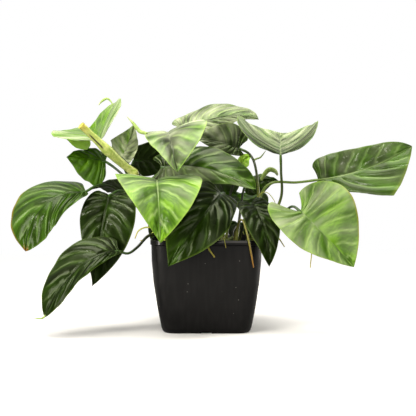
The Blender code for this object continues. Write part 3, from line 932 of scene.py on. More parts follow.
    def half(self, side: int, u: np.ndarray, v: np.ndarray) -> dict[str, np.ndarray]:
        """One half of the blade, as a grid of rows along the ribs.

        Args:
            side: 0 for the left half and 1 for the right.
            u: the rows, from 0 at the lobe to 1 at the tip.
            v: the columns, from 0 at the midrib to 1 at the margin.

        Returns:
            The middle sheet's points, and what the finish and the relief read there.
        """
        margin_s, margin_t = self.margin(side, u)
        rows, columns = np.meshgrid(u, v, indexing="ij")
        start = self.length * (self.EVEN_RIBS * rows + (1 - self.EVEN_RIBS) * rows**self.CROWDED)
        s = start + (margin_s[:, None] - start) * columns**self.SWEEP
        across = margin_t[:, None] * columns
        at, right, normal = self.carried(s)
        out, up = self.bent(side, across)
        swell = np.sin(math.pi * rows)
        up = up + self.wave * np.sin(2 * math.pi * self.WAVES * rows + 2.1 * side) * columns**2 * swell
        fine = np.sin(2 * math.pi * self.FINE_WAVES * rows + 1.3 * side + self.seed)
        up = up + self.FINE_WAVE * self.wave * fine * columns**4 * swell
        hand = 1.0 if side else -1.0
        return {
            "points": at + right * (hand * out)[..., None] + normal * up[..., None],
            "from_midrib": across,
            "taper": 1 - 0.75 * np.clip(s / self.length, 0, 1),
            "along": s / self.length + 0.6 * side,
            "across": hand * columns,
            **self.ribbing(side, rows, columns),
        }

    def blade(self) -> Shape:
        """The blade, ribbed on both faces, with a channel over its midrib and a keel under it.

        Returns:
            Its closed skin.
        """
        count = int(np.clip(self.length * self.ROWS_PER_MM, *self.ROWS))
        u = np.linspace(0, 1, count + 1)
        v = np.linspace(0, 1, self.COLUMNS + 1) ** 1.35
        left, right = self.half(0, u, v), self.half(1, u, v)
        grid = {name: np.concatenate([left[name][:, :0:-1], right[name]], axis=1) for name in left}
        points, wide = grid["points"], 2 * self.COLUMNS + 1
        middle = self.COLUMNS
        for name in ("light", "bulge", "along"):
            grid[name][:, middle] = 0.5 * (left[name][:, 0] + right[name][:, 0])
        down, over = np.gradient(points, axis=0), np.gradient(points, axis=1)
        normals = np.cross(down, over)
        normals[-1] = normals[-2]
        normals = -normals / np.maximum(np.linalg.norm(normals, axis=-1, keepdims=True), 1e-9)
        if np.sum(normals[count // 2, middle] * unit(self.face[:3])) < 0:
            normals = -normals
        rows, columns = np.meshgrid(u, np.linspace(-1, 1, wide), indexing="ij")
        uneven = 0.45 * ripple(rows * 1.6, columns * 1.2, self.seed)
        uneven = uneven + 0.05 * ripple(rows * 6, columns * 4, self.seed + 1)
        lift = grid["lift"] + uneven * (1 - columns**4) * ease(np.abs(columns), 0.0, 0.1)
        channel = np.exp(-((grid["from_midrib"] / self.CHANNEL_WIDE) ** 2)) * grid["taper"]
        cord = np.exp(-((grid["from_midrib"] / self.CORD_WIDE) ** 2)) * grid["taper"]
        thin = self.THICK / 2 * (1 - 0.5 * ease(np.abs(grid["across"]), 0.95, 1.0))
        above = thin + lift - self.CHANNEL_DEEP * channel + self.CORD_HIGH * cord
        below = thin - lift + self.KEEL_DEEP * cord
        upper, lower = points + normals * above[..., None], points - normals * below[..., None]
        shape = self.close(upper, lower, count, wide)
        # A midrib that isn't pale is darker than the blade
        grid["light"] = grid["light"] - 0.2 * cord * max(0.0, 1 - 2.5 * self.pale_rib)
        for name in ("light", "bulge", "frost", "along", "across", "edge", "worn"):
            shape.values[name] = self.doubled(grid[name], middle)
        # The rib value holds the pale midrib and the side ribs' pale lines, which are partly painted sheen
        shape.values["rib"] = self.doubled(self.pale_rib * cord + grid["pale_vein_and_sheen"], middle)
        shape.values["under"] = np.repeat([0.0, 1.0], len(shape.points) // 2)
        return shape

    @staticmethod
    def doubled(values: np.ndarray, middle: int) -> np.ndarray:
        """Values of the grid for its upper and lower points, with the last row as one point."""
        once = np.append(values[:-1].reshape(-1), values[-1, middle])
        return np.concatenate([once, once])

    @staticmethod
    def close(upper: np.ndarray, lower: np.ndarray, count: int, wide: int) -> Shape:
        """Join the two faces of the blade round its margin.

        Args:
            upper: the grid of the upper face.
            lower: the grid of the lower face.
            count: rows of faces, the last of which meet in the tip.
            wide: points across.

        Returns:
            The closed skin.
        """
        sheets = [np.vstack([sheet[:-1].reshape(-1, 3), sheet[-1, wide // 2]]) for sheet in (upper, lower)]
        total = len(sheets[0])
        tip = count * wide
        top: list[tuple[int, ...]] = []
        for i in range(count - 1):
            for j in range(wide - 1):
                a = i * wide + j
                top.append((a, a + 1, a + wide + 1, a + wide))
        top += [((count - 1) * wide + j, (count - 1) * wide + j + 1, tip) for j in range(wide - 1)]
        faces = top + [tuple(total + i for i in reversed(face)) for face in top]
        rim = list(range(wide - 1, -1, -1)) + [i * wide for i in range(1, count)] + [tip]
        rim += [i * wide + wide - 1 for i in range(count - 1, 0, -1)]
        faces += [(a, b, b + total, a + total) for a, b in zip(rim, rim[1:] + rim[:1])]
        return Shape(np.vstack(sheets), faces)

    def stalk_line(self) -> np.ndarray:
        """The stalk's centreline.

        Returns:
            Points from its foot to a little way under the midrib.
        """
        shares = np.linspace(0.0, self.STALK_REACH, 4)
        at, _, normal = self.carried(shares * self.length)
        under = at - normal * (self.STALK_SINK * (1 + shares / self.STALK_REACH))[:, None]
        foot = (*self.stalk[0], self.FOOT_Z)
        return np.vstack([spline([foot, *self.stalk[1:], under[0]], self.STALK_STEP), under[1:]])

    def petiole(self) -> Shape:
        """The stalk, with a sheath round its foot and a slight swelling below the blade.

        Returns:
            Its closed skin, which takes the leaf's second material.
        """
        path = self.stalk_line()
        share = np.linspace(0, 1, len(path))
        radii = self.STALK_RADIUS[0] + (self.STALK_RADIUS[1] - self.STALK_RADIUS[0]) * share
        radii = radii * (1 + 0.22 * ease(share, self.sheath, self.sheath - 0.12))
        radii = radii * (1 + 0.16 * np.exp(-(((share - 0.9) / 0.04) ** 2)))
        radii[-3:] *= (0.85, 0.65, 0.4)
        shape = tube(path, radii, self.STALK_SIDES)
        along = shape.values["along"]
        sheathed = self.SHEATH_SHADES * along / self.sheath
        free = self.SHEATH_SHADES + (1 - self.SHEATH_SHADES) * (along - self.sheath) / (1 - self.sheath)
        shape.values["along"] = np.where(along < self.sheath, sheathed, free)
        shape.values["pale"] = np.full(len(along), self.stalk_light)
        shape.finish = 1
        return shape

    def build(self, blade: bpy.types.Material, stalk: bpy.types.Material) -> None:
        """Make the leaf as one piece.

        Args:
            blade: the blade's material.
            stalk: the stalk's material.
        """
        shapes = [self.blade(), self.petiole()]
        make_piece(f"{self.name}_living", shapes, [blade, stalk], (self.name,))


# The older a leaf, the smoother its skin. The newest is soft and satin, and lets light through
BLADES = {
    Tone.OLD: BladeFinish("old_leaf", 0.32, 0.2),
    Tone.GROWN: BladeFinish("grown_leaf", 0.38, 0.25),
    Tone.YOUNG: BladeFinish("young_leaf", 0.42, 0.16),
    Tone.NEW: BladeFinish(
        "newest_leaf", 0.5, 0.1, thin=0.3, under="#cdf090",
        shades=((0.0, "#2f6a08"), (0.4, "#86d42c"), (0.75, "#c2ff66")),
    ),
}

# The leaves of the photograph, and then six that stand behind them and are guessed
LEAVES = (
    Leaf("leaf_far_left", Tone.GROWN, (0.36, 0.39), ((-121, -22, 141), (-162, -40, 125), (-178, -48, 82)),
         (0, -0.35, 0.95, -0.5, -0.8, 0.3), (24, 36),
         ((-36, -9), (-60, 2, 112), (-86, 2, 138), (-106, -8, 147)), fold=(-8, 8), lobe=(0.01, 0.02),
         spread=(0.2, 0.45), shoulder=(0.85, 1.0), widest=(0.6, 0.5), tips=((0.97, 0.6), (0.9, 0.35)),
         worn=0.8, scorch=(0.0, 0.5), heart=-0.05, banding=0.08, frost=(0.0, 0.12), vein=0.22),
    Leaf("leaf_low_left", Tone.OLD, (0.15, 0.16), ((-86, -50, 83), (-123, -68, 68), (-157, -70, 20)),
         (-0.3, -0.7, 0.65), (15, 28),
         ((-39, -24), (-46, -30, 95), (-57, -37, 97), (-68, -43, 86), (-77, -48, 80)), lobe=(0.02, 0.03),
         spread=(0.2, 0.45), shoulder=(0.9, 1.0), widest=(0.42, 0.4), tips=((0.98, 0.7), (0.93, 0.45)),
         sheath=0.12, heart=-0.06, frost=(0.0, 0.05), vein=0.1, pale_edge=0.15),
    Leaf("leaf_dark_left", Tone.OLD, (0.16, 0.14), ((-98, -14, 137), (-104, -29, 105), (-115, -22, 45)),
         (-0.1, -0.95, 0.25), (32, 24), ((-31, -17), (-54, -10, 118), (-84, -8, 140)), lobe=(0.04, 0.04),
         tips=((0.88, 0.3), (0.78, 0.12)), hold=(1.0, 0.9), tipward=0.06, vein=0.1),
    Leaf("leaf_behind_left", Tone.OLD, (0.14, 0.14), ((-82, 22, 136), (-100, 16, 145), (-118, 12, 142)),
         (0.0, 0.45, 0.9), (16, 16), ((-26, 14), (-48, 18, 112), (-70, 22, 130))),
    Leaf("leaf_front", Tone.YOUNG, (0.65, 0.63), ((-49, -44, 152), (-46, -90, 140), (-43, -112, 94)),
         (0.0, -0.6, 0.8), (43.5, 41), ((-14, -20), (-32, -16, 115), (-46, -26, 143)), fold=(12, 18),
         lobe=(0.04, 0.04), widest=(0.3, 0.12), tips=((0.88, 0.34), (0.8, 0.28)), hold=(1.0, 0.97),
         ribs=11.0, relief=1.3, heart=-0.16, tipward=0.06, banding=0.15, frost=(0.5, 0.6), pale_rib=0.6,
         vein=0.58, pale_edge=0.5),
    Leaf("leaf_upper", Tone.GROWN, (0.51, 0.49), ((-39, -14, 200), (-35, -52, 190), (-28, -78, 160)),
         (0.0, -0.6, 0.8), (40, 24), ((-8, 6), (-24, 16, 130), (-40, 21, 172), (-42, 8, 194)),
         fold=(26, 8), lobe=(0.1, 0.1), widest=(0.3, 0.2), heart=-0.5, banding=0.18, frost=(1.1, 1.2),
         painted_sheen_at=0.1, vein=0.55, pale_edge=0.6),
    # Its left half is painted paler through light and frost, as sheen from the left
    Leaf("leaf_upright", Tone.OLD, (0.68, 0.3), ((-88, 6, 172), (-80, -4, 188), (-73, -13, 208)),
         (0.1, -0.85, 0.5), (26, 12), ((-19, 6), (-50, 8, 122), (-78, 10, 152)), fold=(-14, 12),
         lobe=(0.03, 0.03), widest=(0.08, 0.35), tips=((0.72, 0.28), (0.88, 0.3)), hold=(0.66, 1.0),
         ribs=10.5, banding=0.08, frost=(1.7, 1.2), painted_sheen_at=0.3, vein=0.9),
    Leaf("leaf_droop", Tone.OLD, (0.5, 0.44), ((-103, 6, 171), (-122, 0, 174), (-142, -6, 175)),
         (0.0, -0.2, 1.0), (28, 18), ((-33, 8), (-56, 0, 128), (-80, -1, 152), (-94, 4, 164)),
         fold=(-65, 30), curl=(-10, -10), lobe=(0.05, 0.05), widest=(0.2, 0.3), frost=(0.03, 0.03)),
    Leaf("leaf_vee_left", Tone.YOUNG, (0.66, 0.68), ((-106, -20, 191), (-112, 15, 199), (-124, 50, 206)),
         (-0.5, -0.25, 0.87), (49, 44),
         ((-16, 16), (-50, 12, 132), (-66, 2, 154), (-80, -10, 168), (-93, -20, 181)), fold=(38, 34),
         curl=(-8, -8), heart=-0.08, frost=(0.9, 0.9), vein=0.5),
    Leaf("leaf_bud_left", Tone.NEW, (0.95, 0.95), ((-122, 10, 197), (-132, 4, 195), (-143, -2, 194)),
         (0.0, 0.0, 1.0), (14, 5), ((-8, 20), (-40, 20, 130), (-80, 22, 165), (-107, 17, 191)),
         fold=(-75, 10), curl=(0, 0), lobe=(0.03, 0.03), wave=0.4, relief=0.3, frost=(0.2, 0.2)),
    Leaf("leaf_vee_right", Tone.GROWN, (0.36, 0.33), ((73, -44, 177), (75, -8, 188), (79, 28, 200)),
         (0.02, -0.25, 1.0), (54, 47), ((36, -12), (62, -14, 108), (75, -16, 134), (74, -34, 160)),
         fold=(16, 18), curl=(36, 40), ribs=14, sheath=0.5, heart=-0.12, tipward=0.25, banding=0.2,
         frost=(0.9, 0.9), painted_sheen_at=1.0, pale_rib=0.3, vein=0.9, pale_edge=0.4, stalk_light=0.2),
    Leaf("leaf_top", Tone.OLD, (0.34, 0.24), ((-26, 26, 203), (20, 32, 218), (54, 24, 214)),
         (0.0, -0.42, 1.0), (36, 14), ((2, 8), (-6, 22, 130), (-20, 24, 190)), fold=(10, -30),
         lobe=(0.04, 0.08), shoulder=(0.75, 1.0), widest=(0.38, 0.3), ribs=12, banding=0.12,
         frost=(0.7, 0.45), painted_sheen_at=0.4, vein=0.7),
    Leaf("leaf_dark_upper", Tone.OLD, (0.23, 0.21), ((34, 12, 184), (13, 8, 190), (-10, 10, 193)),
         (0.0, -0.95, 0.3), (10, 23), ((34, 6), (50, 2, 108), (53, 0, 135), (50, 5, 165), (44, 10, 178)),
         sheath=0.6, frost=(0.3, 0.35), painted_sheen_at=0.9, vein=0.22, stalk_light=0.1),
    Leaf("leaf_middle", Tone.OLD, (0.3, 0.4), ((-46, -6, 165), (2, -21.5, 162.5), (49, -38, 143)),
         (0.0, -0.6, 0.8), (34, 21), ((-4, -10), (-24, -4, 120), (-44, -2, 152)), fold=(12, -45),
         lobe=(0.1, 0.12), spread=(0.35, 0.5), shoulder=(0.7, 1.0), widest=(0.3, 0.2),
         tips=((0.9, 0.5), (0.88, 0.3)), hold=(1.0, 0.6), heart=-0.02, tipward=0.34, banding=0.14,
         frost=(0.02, 0.45), painted_sheen_at=0.7, vein=0.42),
    Leaf("leaf_oval", Tone.OLD, (0.24, 0.24), ((-76, 26, 172), (-45, 36, 171), (-10, 46, 166)),
         (0.0, 0.75, 0.65), (24, 24), ((-25, 18), (-42, 26, 120), (-66, 27, 148), (-77, 27, 163)),
         lobe=(0.04, 0.04), frost=(0.0, 0.0)),
    # Its base is darker through tipward: painted shade under leaf_middle
    Leaf("leaf_central", Tone.OLD, (0.1, 0.09), ((15, -30, 139), (-2, -66, 119), (-37, -72, 69)),
         (0.1, -0.95, 0.25, 0.1, -0.8, 0.6), (28, 31), ((6, -24), (12, -20, 110), (18, -18, 136)),
         lobe=(0.03, 0.03), shoulder=(0.75, 0.75), widest=(0.42, 0.5), tipward=0.5, frost=(0.0, 0.0),
         vein=0.09),
    Leaf("leaf_right_dark", Tone.OLD, (0.08, 0.08), ((44, -31, 129), (56, -56, 106), (61, -63, 68)),
         (0.25, -0.9, 0.35), (18, 18), ((28, -22), (36, -26, 105), (41, -28, 124)), lobe=(0.08, 0.08),
         tipward=0.08),
    Leaf("leaf_right_front", Tone.YOUNG, (0.6, 0.58), ((92, -50, 122), (112, -57, 102), (143, -66, 68)),
         (0.2, -0.9, 0.35), (51, 31), ((42, -28), (54, -32, 104), (72, -38, 116), (84, -44, 126)),
         lobe=(0.18, 0.33), spread=(0.25, 0.45), widest=(0.16, 0.15), ribs=9.5, relief=1.3,
         scorch=(0.4, 0.1), banding=0.14, frost=(0.4, 0.45), painted_sheen_at=0.25, pale_rib=0.15, vein=0.6,
         pale_edge=0.4),
    Leaf("leaf_far_right", Tone.GROWN, (0.36, 0.4), ((114, 6, 152), (162, -4, 163), (208, -8, 186)),
         (0.0, -0.9, 0.45), (27, 39.5), ((41, 10), (54, 10, 130), (66, 8, 148), (92, 6, 149)),
         lobe=(0.05, 0.03), spread=(0.5, 0.15), shoulder=(1.0, 0.42), widest=(0.18, 0.634),
         tips=((0.88, 0.85), (0.93, 0.27)), hold=(0.9, 0.66), scorch=(0.0, 0.1), frost=(0.16, 0.12),
         painted_sheen_at=0.3, pale_rib=0.5, vein=0.3, stalk_light=0.8),
    Leaf("leaf_small_right", Tone.OLD, (0.32, 0.22), ((41, 30, 148), (57, 26, 152), (74, 22, 151)),
         (0.0, -0.6, 0.8), (9, 16), ((29, 13), (34, 26, 110), (38, 31, 138)), fold=(5, -40), relief=0.4),
    Leaf("leaf_bud_right", Tone.NEW, (0.95, 0.95), ((36, 24, 168), (41, 22, 174), (47, 20, 176)),
         (0.0, -0.9, 0.4), (6, 8), ((14, 14), (22, 24, 125), (32, 26, 160)), wave=0.3, relief=0.2,
         frost=(0.5, 0.5)),
    Leaf("leaf_back_left", Tone.GROWN, (0.5, 0.46), ((-26, 58, 138), (-47, 86, 141), (-60, 108, 110)),
         (-0.2, 0.3, 1.0), (28, 31), ((-12, 26), (-19, 38, 118)), fold=(14, 8), lobe=(0.18, 0.18),
         wave=1.8),
    Leaf("leaf_back_middle", Tone.OLD, (0.3, 0.34), ((6, 50, 150), (13, 87, 152), (24, 116, 122)),
         (0.1, 0.3, 1.0), (33, 30), ((4, 26), (4, 34, 120)), fold=(10, 16), wave=1.6),
    Leaf("leaf_back_right", Tone.GROWN, (0.48, 0.52), ((30, 50, 134), (43, 75, 131), (54, 96, 99)),
         (0.25, 0.3, 1.0), (25, 27), ((18, 28), (24, 36, 110)), fold=(8, 14), lobe=(0.2, 0.2)),
    Leaf("leaf_back_low", Tone.OLD, (0.28, 0.26), ((-6, 50, 110), (-12, 81, 106), (-19, 104, 68)),
         (0.0, 0.6, 0.8), (27, 24), ((-4, 34), (-5, 38, 98)), fold=(6, 14), wave=1.7),
    Leaf("leaf_back_low_right", Tone.OLD, (0.26, 0.3), ((32, 48, 104), (38, 75, 97), (43, 94, 58)),
         (0.2, 0.6, 0.8), (19, 21), ((24, 36), (27, 39, 96)), lobe=(0.2, 0.2)),
    Leaf("leaf_back_low_left", Tone.OLD, (0.3, 0.28), ((-35, 46, 106), (-43, 72, 99), (-49, 91, 62)),
         (-0.2, 0.6, 0.8), (21, 18), ((-26, 34), (-31, 38, 96)), fold=(14, 6)),
)


# Pot and soil


@dataclass
class Pot:
    """The nursery pot: a tapering square cup with round corners, a lip, drain holes and notches.

    Attributes:
        profile: heights and half widths of the outer wall.
        corner: the radius of the outer wall's corners. Further in it is smaller, but it is not less than
            corner_least, and not more than corner_most as a share of the half width.
        levels: heights of the rings on the wall's inner side.
        rows: how many rings smooth the outer wall.
        lip: the lip's section from its outer side over its top, as distances in from lip_half and down.
        floor_rings: half widths of the rings in the floor.
        notch: width, depth and height of the notch in each bottom edge.
        notch_reach: how far out the notches are.
        drain_reach: how far out the drain holes are, along X and along Y.
    """

    height: float = 93.0
    wall: float = 1.2
    profile: tuple[Pair, ...] = (
        (0.0, 42.0), (2.0, 43.9), (5.0, 44.9), (12.0, 46.3),
        (25.0, 48.8), (50.0, 52.4), (72.0, 54.2), (87.6, 54.6),
    )
    levels: tuple[float, ...] = (12.0, 25.0, 50.0, 72.0)
    rows: int = 22
    lip_height: float = 4.6
    lip_half: float = 55.6
    lip_groove: float = 0.8
    lip: tuple[Pair, ...] = ((0.0, 0.7), (0.2, 0.2), (0.7, 0.0), (1.9, 0.0), (2.3, 0.2), (2.45, 0.7))
    corner: float = 14.0
    corner_least: float = 4.0
    corner_most: float = 0.6
    corner_steps: int = 14
    side_steps: int = 12
    floor_thick: float = 1.5
    floor_rings: Pair = (12.0, 30.0)
    notch: tuple[float, float, float] = (10.0, 14.0, 3.2)
    notch_reach: float = 42.0
    drain_radius: float = 4.0
    drain_reach: float = 24.0

    def outer_half(self, z: float) -> float:
        """Half width of the outer wall at a height."""
        heights, halves = zip(*self.profile)
        return float(np.interp(z, heights, halves))

    def ring(self, half: float, z: float) -> np.ndarray:
        """A ring round a square with round corners, anticlockwise from above.

        Args:
            half: half its width.
            z: its height.

        Returns:
            Its points.
        """
        corner = max(self.corner + half - self.outer_half(z), self.corner_least)
        corner = min(corner, half * self.corner_most)
        points = []
        for quarter in range(4):
            middle = math.radians(45 + 90 * quarter)
            reach = (half - corner) * math.sqrt(2)
            cx, cy = reach * math.cos(middle), reach * math.sin(middle)
            for step in range(self.corner_steps + 1):
                turn = math.radians(90 * quarter + 90 * step / self.corner_steps)
                points.append((cx + corner * math.cos(turn), cy + corner * math.sin(turn), z))
            x, y, _ = points[-1]
            turn = math.radians(90 * (quarter + 1))
            for step in range(1, self.side_steps):
                gone = 2 * (half - corner) * step / self.side_steps
                points.append((x - gone * math.sin(turn), y + gone * math.cos(turn), z))
        return np.array(points)

    def outline(self) -> list[Pair]:
        """The pot's section.

        Returns:
            Half widths and heights, from the floor's underside round the lip to the floor's upper side.
        """
        low = self.height - self.lip_height
        heights = [z for z, _ in self.profile]
        smooth = sorted({*heights, *np.linspace(heights[1], heights[-1], self.rows).round(2)})
        made = [(half, 0.0) for half in self.floor_rings]
        made += [(self.outer_half(z), float(z)) for z in smooth]
        made.append((self.lip_half - self.lip_groove - self.wall * 0.5, low - 0.4))
        made += [(self.lip_half - 0.25, low - 0.05), (self.lip_half, low + 0.3)]
        made += [(self.lip_half - inward, self.height - down) for inward, down in self.lip]
        made += [(self.outer_half(z) - self.wall, z) for z in (low - 3, *reversed(self.levels))]
        inner = self.outer_half(self.floor_thick) - self.wall - 1.0
        made += [(half, self.floor_thick) for half in (inner, *reversed(self.floor_rings))]
        return made

    def cutters(self) -> list[Shape]:
        """What is cut out of the pot.

        Returns:
            Four round drain holes in the floor, and a low arch under each side.
        """
        made = []
        for x in (-self.drain_reach, self.drain_reach):
            for y in (-self.drain_reach, self.drain_reach):
                path = [(x, y, -1.0), (x, y, self.floor_thick + 1)]
                made.append(tube(path, np.full(2, self.drain_radius), 24))
        wide, deep, high = self.notch
        turns = np.linspace(0, math.pi, 9)
        arch = [(-wide / 2, -1.0), (wide / 2, -1.0)]
        arch += [(wide / 2 * math.cos(t), high * (0.35 + 0.65 * math.sin(t))) for t in turns]
        for quarter in range(4):
            turn = math.radians(90 * quarter)
            cos, sin = math.cos(turn), math.sin(turn)
            ends = (-self.notch_reach + deep / 2, -self.notch_reach - deep / 2)
            made.append(loft([
                np.array([(x * cos - y * sin, x * sin + y * cos, z) for x, z in arch]) for y in ends
            ]))
        return made

    def build(self) -> None:
        """Make the pot, with its holes cut by Booleans that are applied."""
        rings = [self.ring(half, z) for half, z in self.outline()]
        material = PotFinish().material()
        pot = make_piece("pot_moulded", [loft(rings)], [material], ("pot",), sharp=35.0)
        for number, cutter in enumerate(self.cutters()):
            mesh = bpy.data.meshes.new(f"cutter_{number}")
            mesh.from_pydata((cutter.points * MM).tolist(), [], cutter.faces)
            helper = new_object(mesh.name, mesh)
            modifier = pot.modifiers.new("cut", "BOOLEAN")
            modifier.operation = "DIFFERENCE"
            modifier.object = helper
            with bpy.context.temp_override(object=pot, active_object=pot):
                bpy.ops.object.modifier_apply(modifier=modifier.name)
            bpy.data.objects.remove(helper)


@dataclass
class Soil:
    """The soil in the pot: a lumpy mounded top strewn with crumbs.

    Attributes:
        pot: the pot that it fills.
        top: its mean height.
        mound: how much higher it is in the middle than mound_reach away from there.
        lump: how high its lumps are.
        gap: how far it stays clear of the wall.
        rings: rings of faces on its top.
        crumbs: how many crumbs lie on it, with their number of sides, sizes and spread.
        seed: picks the crumbs and the finer lumps.
    """

    pot: Pot
    top: float = 85.0
    mound: float = 3.0
    mound_reach: float = 60.0
    lump: float = 1.6
    gap: float = 0.36
    rings: int = 40
    crumbs: int = 520
    crumb_sides: int = 6
    crumb_size: Pair = (0.7, 2.2)
    crumb_spread: float = 50.0
    seed: int = 7

    def height(self, x: np.ndarray, y: np.ndarray) -> np.ndarray:
        """The height of the top.

        Args:
            x: places on the ground plan.
            y: the same, along Y.

        Returns:
            Heights, with the finer lumps.
        """
        away = np.hypot(x, y) / self.mound_reach
        mound = self.mound * np.cos(math.pi * np.minimum(1.0, away) / 2)
        lumps = np.sin(x * 0.31 + 1.3) * np.sin(y * 0.27 + 0.4) + 0.5 * np.sin(x * 0.13 - y * 0.21)
        fine = 0.5 * ripple(x / 9, y / 9, self.seed) + 0.25 * ripple(x / 3.7, y / 3.7, self.seed + 1)
        # The mound is about 2 mm high on average
        return self.top - 2.0 + mound + self.lump * 0.5 * lumps + fine

    def body(self) -> Shape:
        """The soil without its crumbs.

        Returns:
            Its closed skin.
        """
        inset = self.pot.wall + self.gap
        low = self.pot.floor_thick + 0.3
        levels = [(self.pot.outer_half(low) - inset - 1.2, low)]
        levels += [(self.pot.outer_half(z) - inset, z) for z in self.pot.levels]
        rings = [self.pot.ring(half, z) for half, z in levels]
        rim = self.pot.outer_half(self.top) - inset - 0.4
        for number in range(self.rings):
            edge = self.pot.ring(rim * (1 - number / self.rings), self.top)
            edge[:, 2] = self.height(edge[:, 0], edge[:, 1])
            rings.append(edge)
        return loft(rings)

    def strewn(self) -> Shape:
        """Crumbs of peat and bark lying on the top, as small uneven lumps.

        Returns:
            All the crumbs.
        """
        draw = np.random.default_rng(self.seed)
        sides = self.crumb_sides
        turns = 2 * math.pi * np.arange(sides) / sides
        points, faces, shade = [], [], []
        for _ in range(self.crumbs):
            x, y = draw.uniform(-self.crumb_spread, self.crumb_spread, 2)
            size = draw.uniform(*self.crumb_size)
            stretch = draw.uniform(0.6, 1.5, 3) * size
            spin = draw.uniform(0, math.pi)
            turn = np.array(((math.cos(spin), math.sin(spin)), (-math.sin(spin), math.cos(spin))))
            centre = np.array((x, y, self.height(np.array(x), np.array(y)) + size * 0.2))
            rows = [centre - (0, 0, stretch[2])]
            for level, reach in ((-0.45, 0.8), (0.3, 0.95)):
                reach = reach * draw.uniform(0.75, 1.15, sides)
                ring = [stretch[0] * np.cos(turns) * reach, stretch[1] * np.sin(turns) * reach]
                turned = np.stack(ring, axis=-1) @ turn
                rows += [centre + (p[0], p[1], level * stretch[2]) for p in turned]
            rows.append(centre + (0, 0, stretch[2] * 0.8))
            base = len(points)
            low, high = base + 1, base + 1 + sides
            points += rows
            for i in range(sides):
                j = (i + 1) % sides
                faces += [(base, low + j, low + i), (low + i, low + j, high + j, high + i)]
                faces.append((high + i, high + j, high + sides))
            shade += [draw.uniform(-0.2, 0.7)] * len(rows)
        return Shape(np.array(points), faces, {"crumb": np.array(shade)})

    def build(self) -> None:
        """Make the soil as one piece."""
        shapes = [self.body(), self.strewn()]
        make_piece("soil_crumbled", shapes, [SoilFinish().material()], ("soil",))


# Stems and roots


@dataclass
class Root:
    """A root or creeping stem that stands for one CAD node.

    Attributes:
        node: the CAD node.
        knots: points from the foot, and the radius at each.
        slot: the record's slot.
        rings: growth rings along it.
        swell: how far the rings stand out, as a share of the radius.
        uneven: how uneven its skin is, as a share of the radius.
        sides: sides of its tube.
        step: the distance between the tube's rings.
    """

    node: str
    knots: Knots
    slot: Slot = Slot.ROOT
    rings: float = 0.0
    swell: float = 0.04
    uneven: float = 0.06
    sides: int = 12
    step: float = 1.2

    def build(self, material: bpy.types.Material) -> None:
        """Make the root with its uneven skin.

        Args:
            material: its material.
        """
        line = spline([(*place, radius) for place, radius in self.knots], self.step)
        share = np.linspace(0, 1, len(line))[:, None]
        turns = np.arange(self.sides)[None, :] / self.sides
        uneven = 1 + self.swell * np.sin(2 * math.pi * self.rings * share)
        uneven = uneven + self.uneven * ripple(share * 9, turns, len(self.node))
        skin = tube(line[:, :3], line[:, 3:] * uneven, self.sides)
        make_piece(f"{self.node}_skin", [skin], [material], (self.node,))


@dataclass
class Strands:
    """Fine roots, or withered strips of leaf, made as one piece.

    Attributes:
        name: the piece's name.
        slot: the record's slot.
        lines: each strand's points, starting in what it grows from, and the radius at each.
        sides: sides of each strand's tube.
        step: the distance between a tube's rings.
    """

    name: str
    slot: Slot
    lines: tuple[Knots, ...]
    sides: int = 8
    step: float = 0.8

    def build(self, material: bpy.types.Material) -> None:
        """Make the strands.

        Args:
            material: the material of them all.
        """
        shapes = []
        for knots in self.lines:
            line = spline([(*place, radius) for place, radius in knots], self.step)
            shapes.append(tube(line[:, :3], line[:, 3:], self.sides))
        make_piece(self.name, shapes, [material], ())


CREEPING_STEM = Root(
    "creeping_stem",
    (((-43, 1, 82.5), 3.4), ((-30, -2.5, 85.2), 4.3), ((-12, -1.5, 86), 4.5),
     ((6, -2.5, 86.3), 4.3), ((20, -1.5, 87.5), 4.0), ((28, -2, 92.5), 3.0)),
    Slot.STEM, rings=14, swell=0.07, sides=20,
)
ROOTS = (
    Root("root_front_long", (
        ((24, -34, 74), 1.0), ((30, -40, 104), 1.0), ((35, -53, 113), 1.0),
        ((40, -60, 98), 1.0), ((43, -60, 84), 0.9), ((46, -59, 67), 0.5),
    )),
    Root("root_front_short", (
        ((-5, -36, 74), 1.0), ((-6, -46, 98), 1.0), ((-3, -56, 99), 1.0),
        ((2, -59, 86), 0.9), ((8, -60, 77), 0.6),
    )),
    Root("root_left", (
        ((-34, -31, 74), 0.9), ((-46, -33, 100), 0.9), ((-58, -35, 105), 0.8),
        ((-67, -37, 102), 0.7), ((-71, -38, 94), 0.5),
    )),
    Root("root_right", (
        ((44, -18, 74), 0.9), ((50, -20, 102), 0.9), ((62, -24, 112), 0.8),
        ((86, -32, 106), 0.7), ((103, -38, 88), 0.6), ((103, -38, 65), 0.5),
    )),
    Root("root_right_short", (
        ((44, -4, 74), 0.9), ((52, -6, 100), 0.9), ((64, -8, 105), 0.8),
        ((73, -10, 93), 0.7), ((79, -11, 84), 0.5),
    )),
)


FINE_ROOTS = Strands("fine_roots", Slot.ROOT, (
    (((-52, -34, 101), 0.6), ((-56, -36, 97), 0.55), ((-61, -37, 93), 0.5), ((-66, -38, 92), 0.3)),
    (((52, -1, 134), 0.5), ((57, -2, 139), 0.45), ((63, -3, 138), 0.4), ((68, -4, 132), 0.4),
     ((70, -4, 128), 0.25)),
    (((40, -4, 128), 0.5), ((50, -5, 122), 0.5), ((62, -7, 121), 0.4), ((70, -8, 124), 0.25)),
    (((10, -38, 90), 0.5), ((14, -48, 97), 0.5), ((17, -57, 95), 0.45), ((19, -59, 86), 0.3)),
    (((-20, -36, 90), 0.5), ((-24, -46, 98), 0.5), ((-27, -57, 95), 0.45), ((-30, -59, 84), 0.3)),
    (((-10, 36, 90), 0.6), ((-14, 48, 99), 0.6), ((-18, 58, 95), 0.5), ((-20, 61, 78), 0.3)),
    (((34, 38, 88), 0.6), ((36, 50, 98), 0.6), ((40, 59, 92), 0.5), ((42, 61, 74), 0.3)),
))
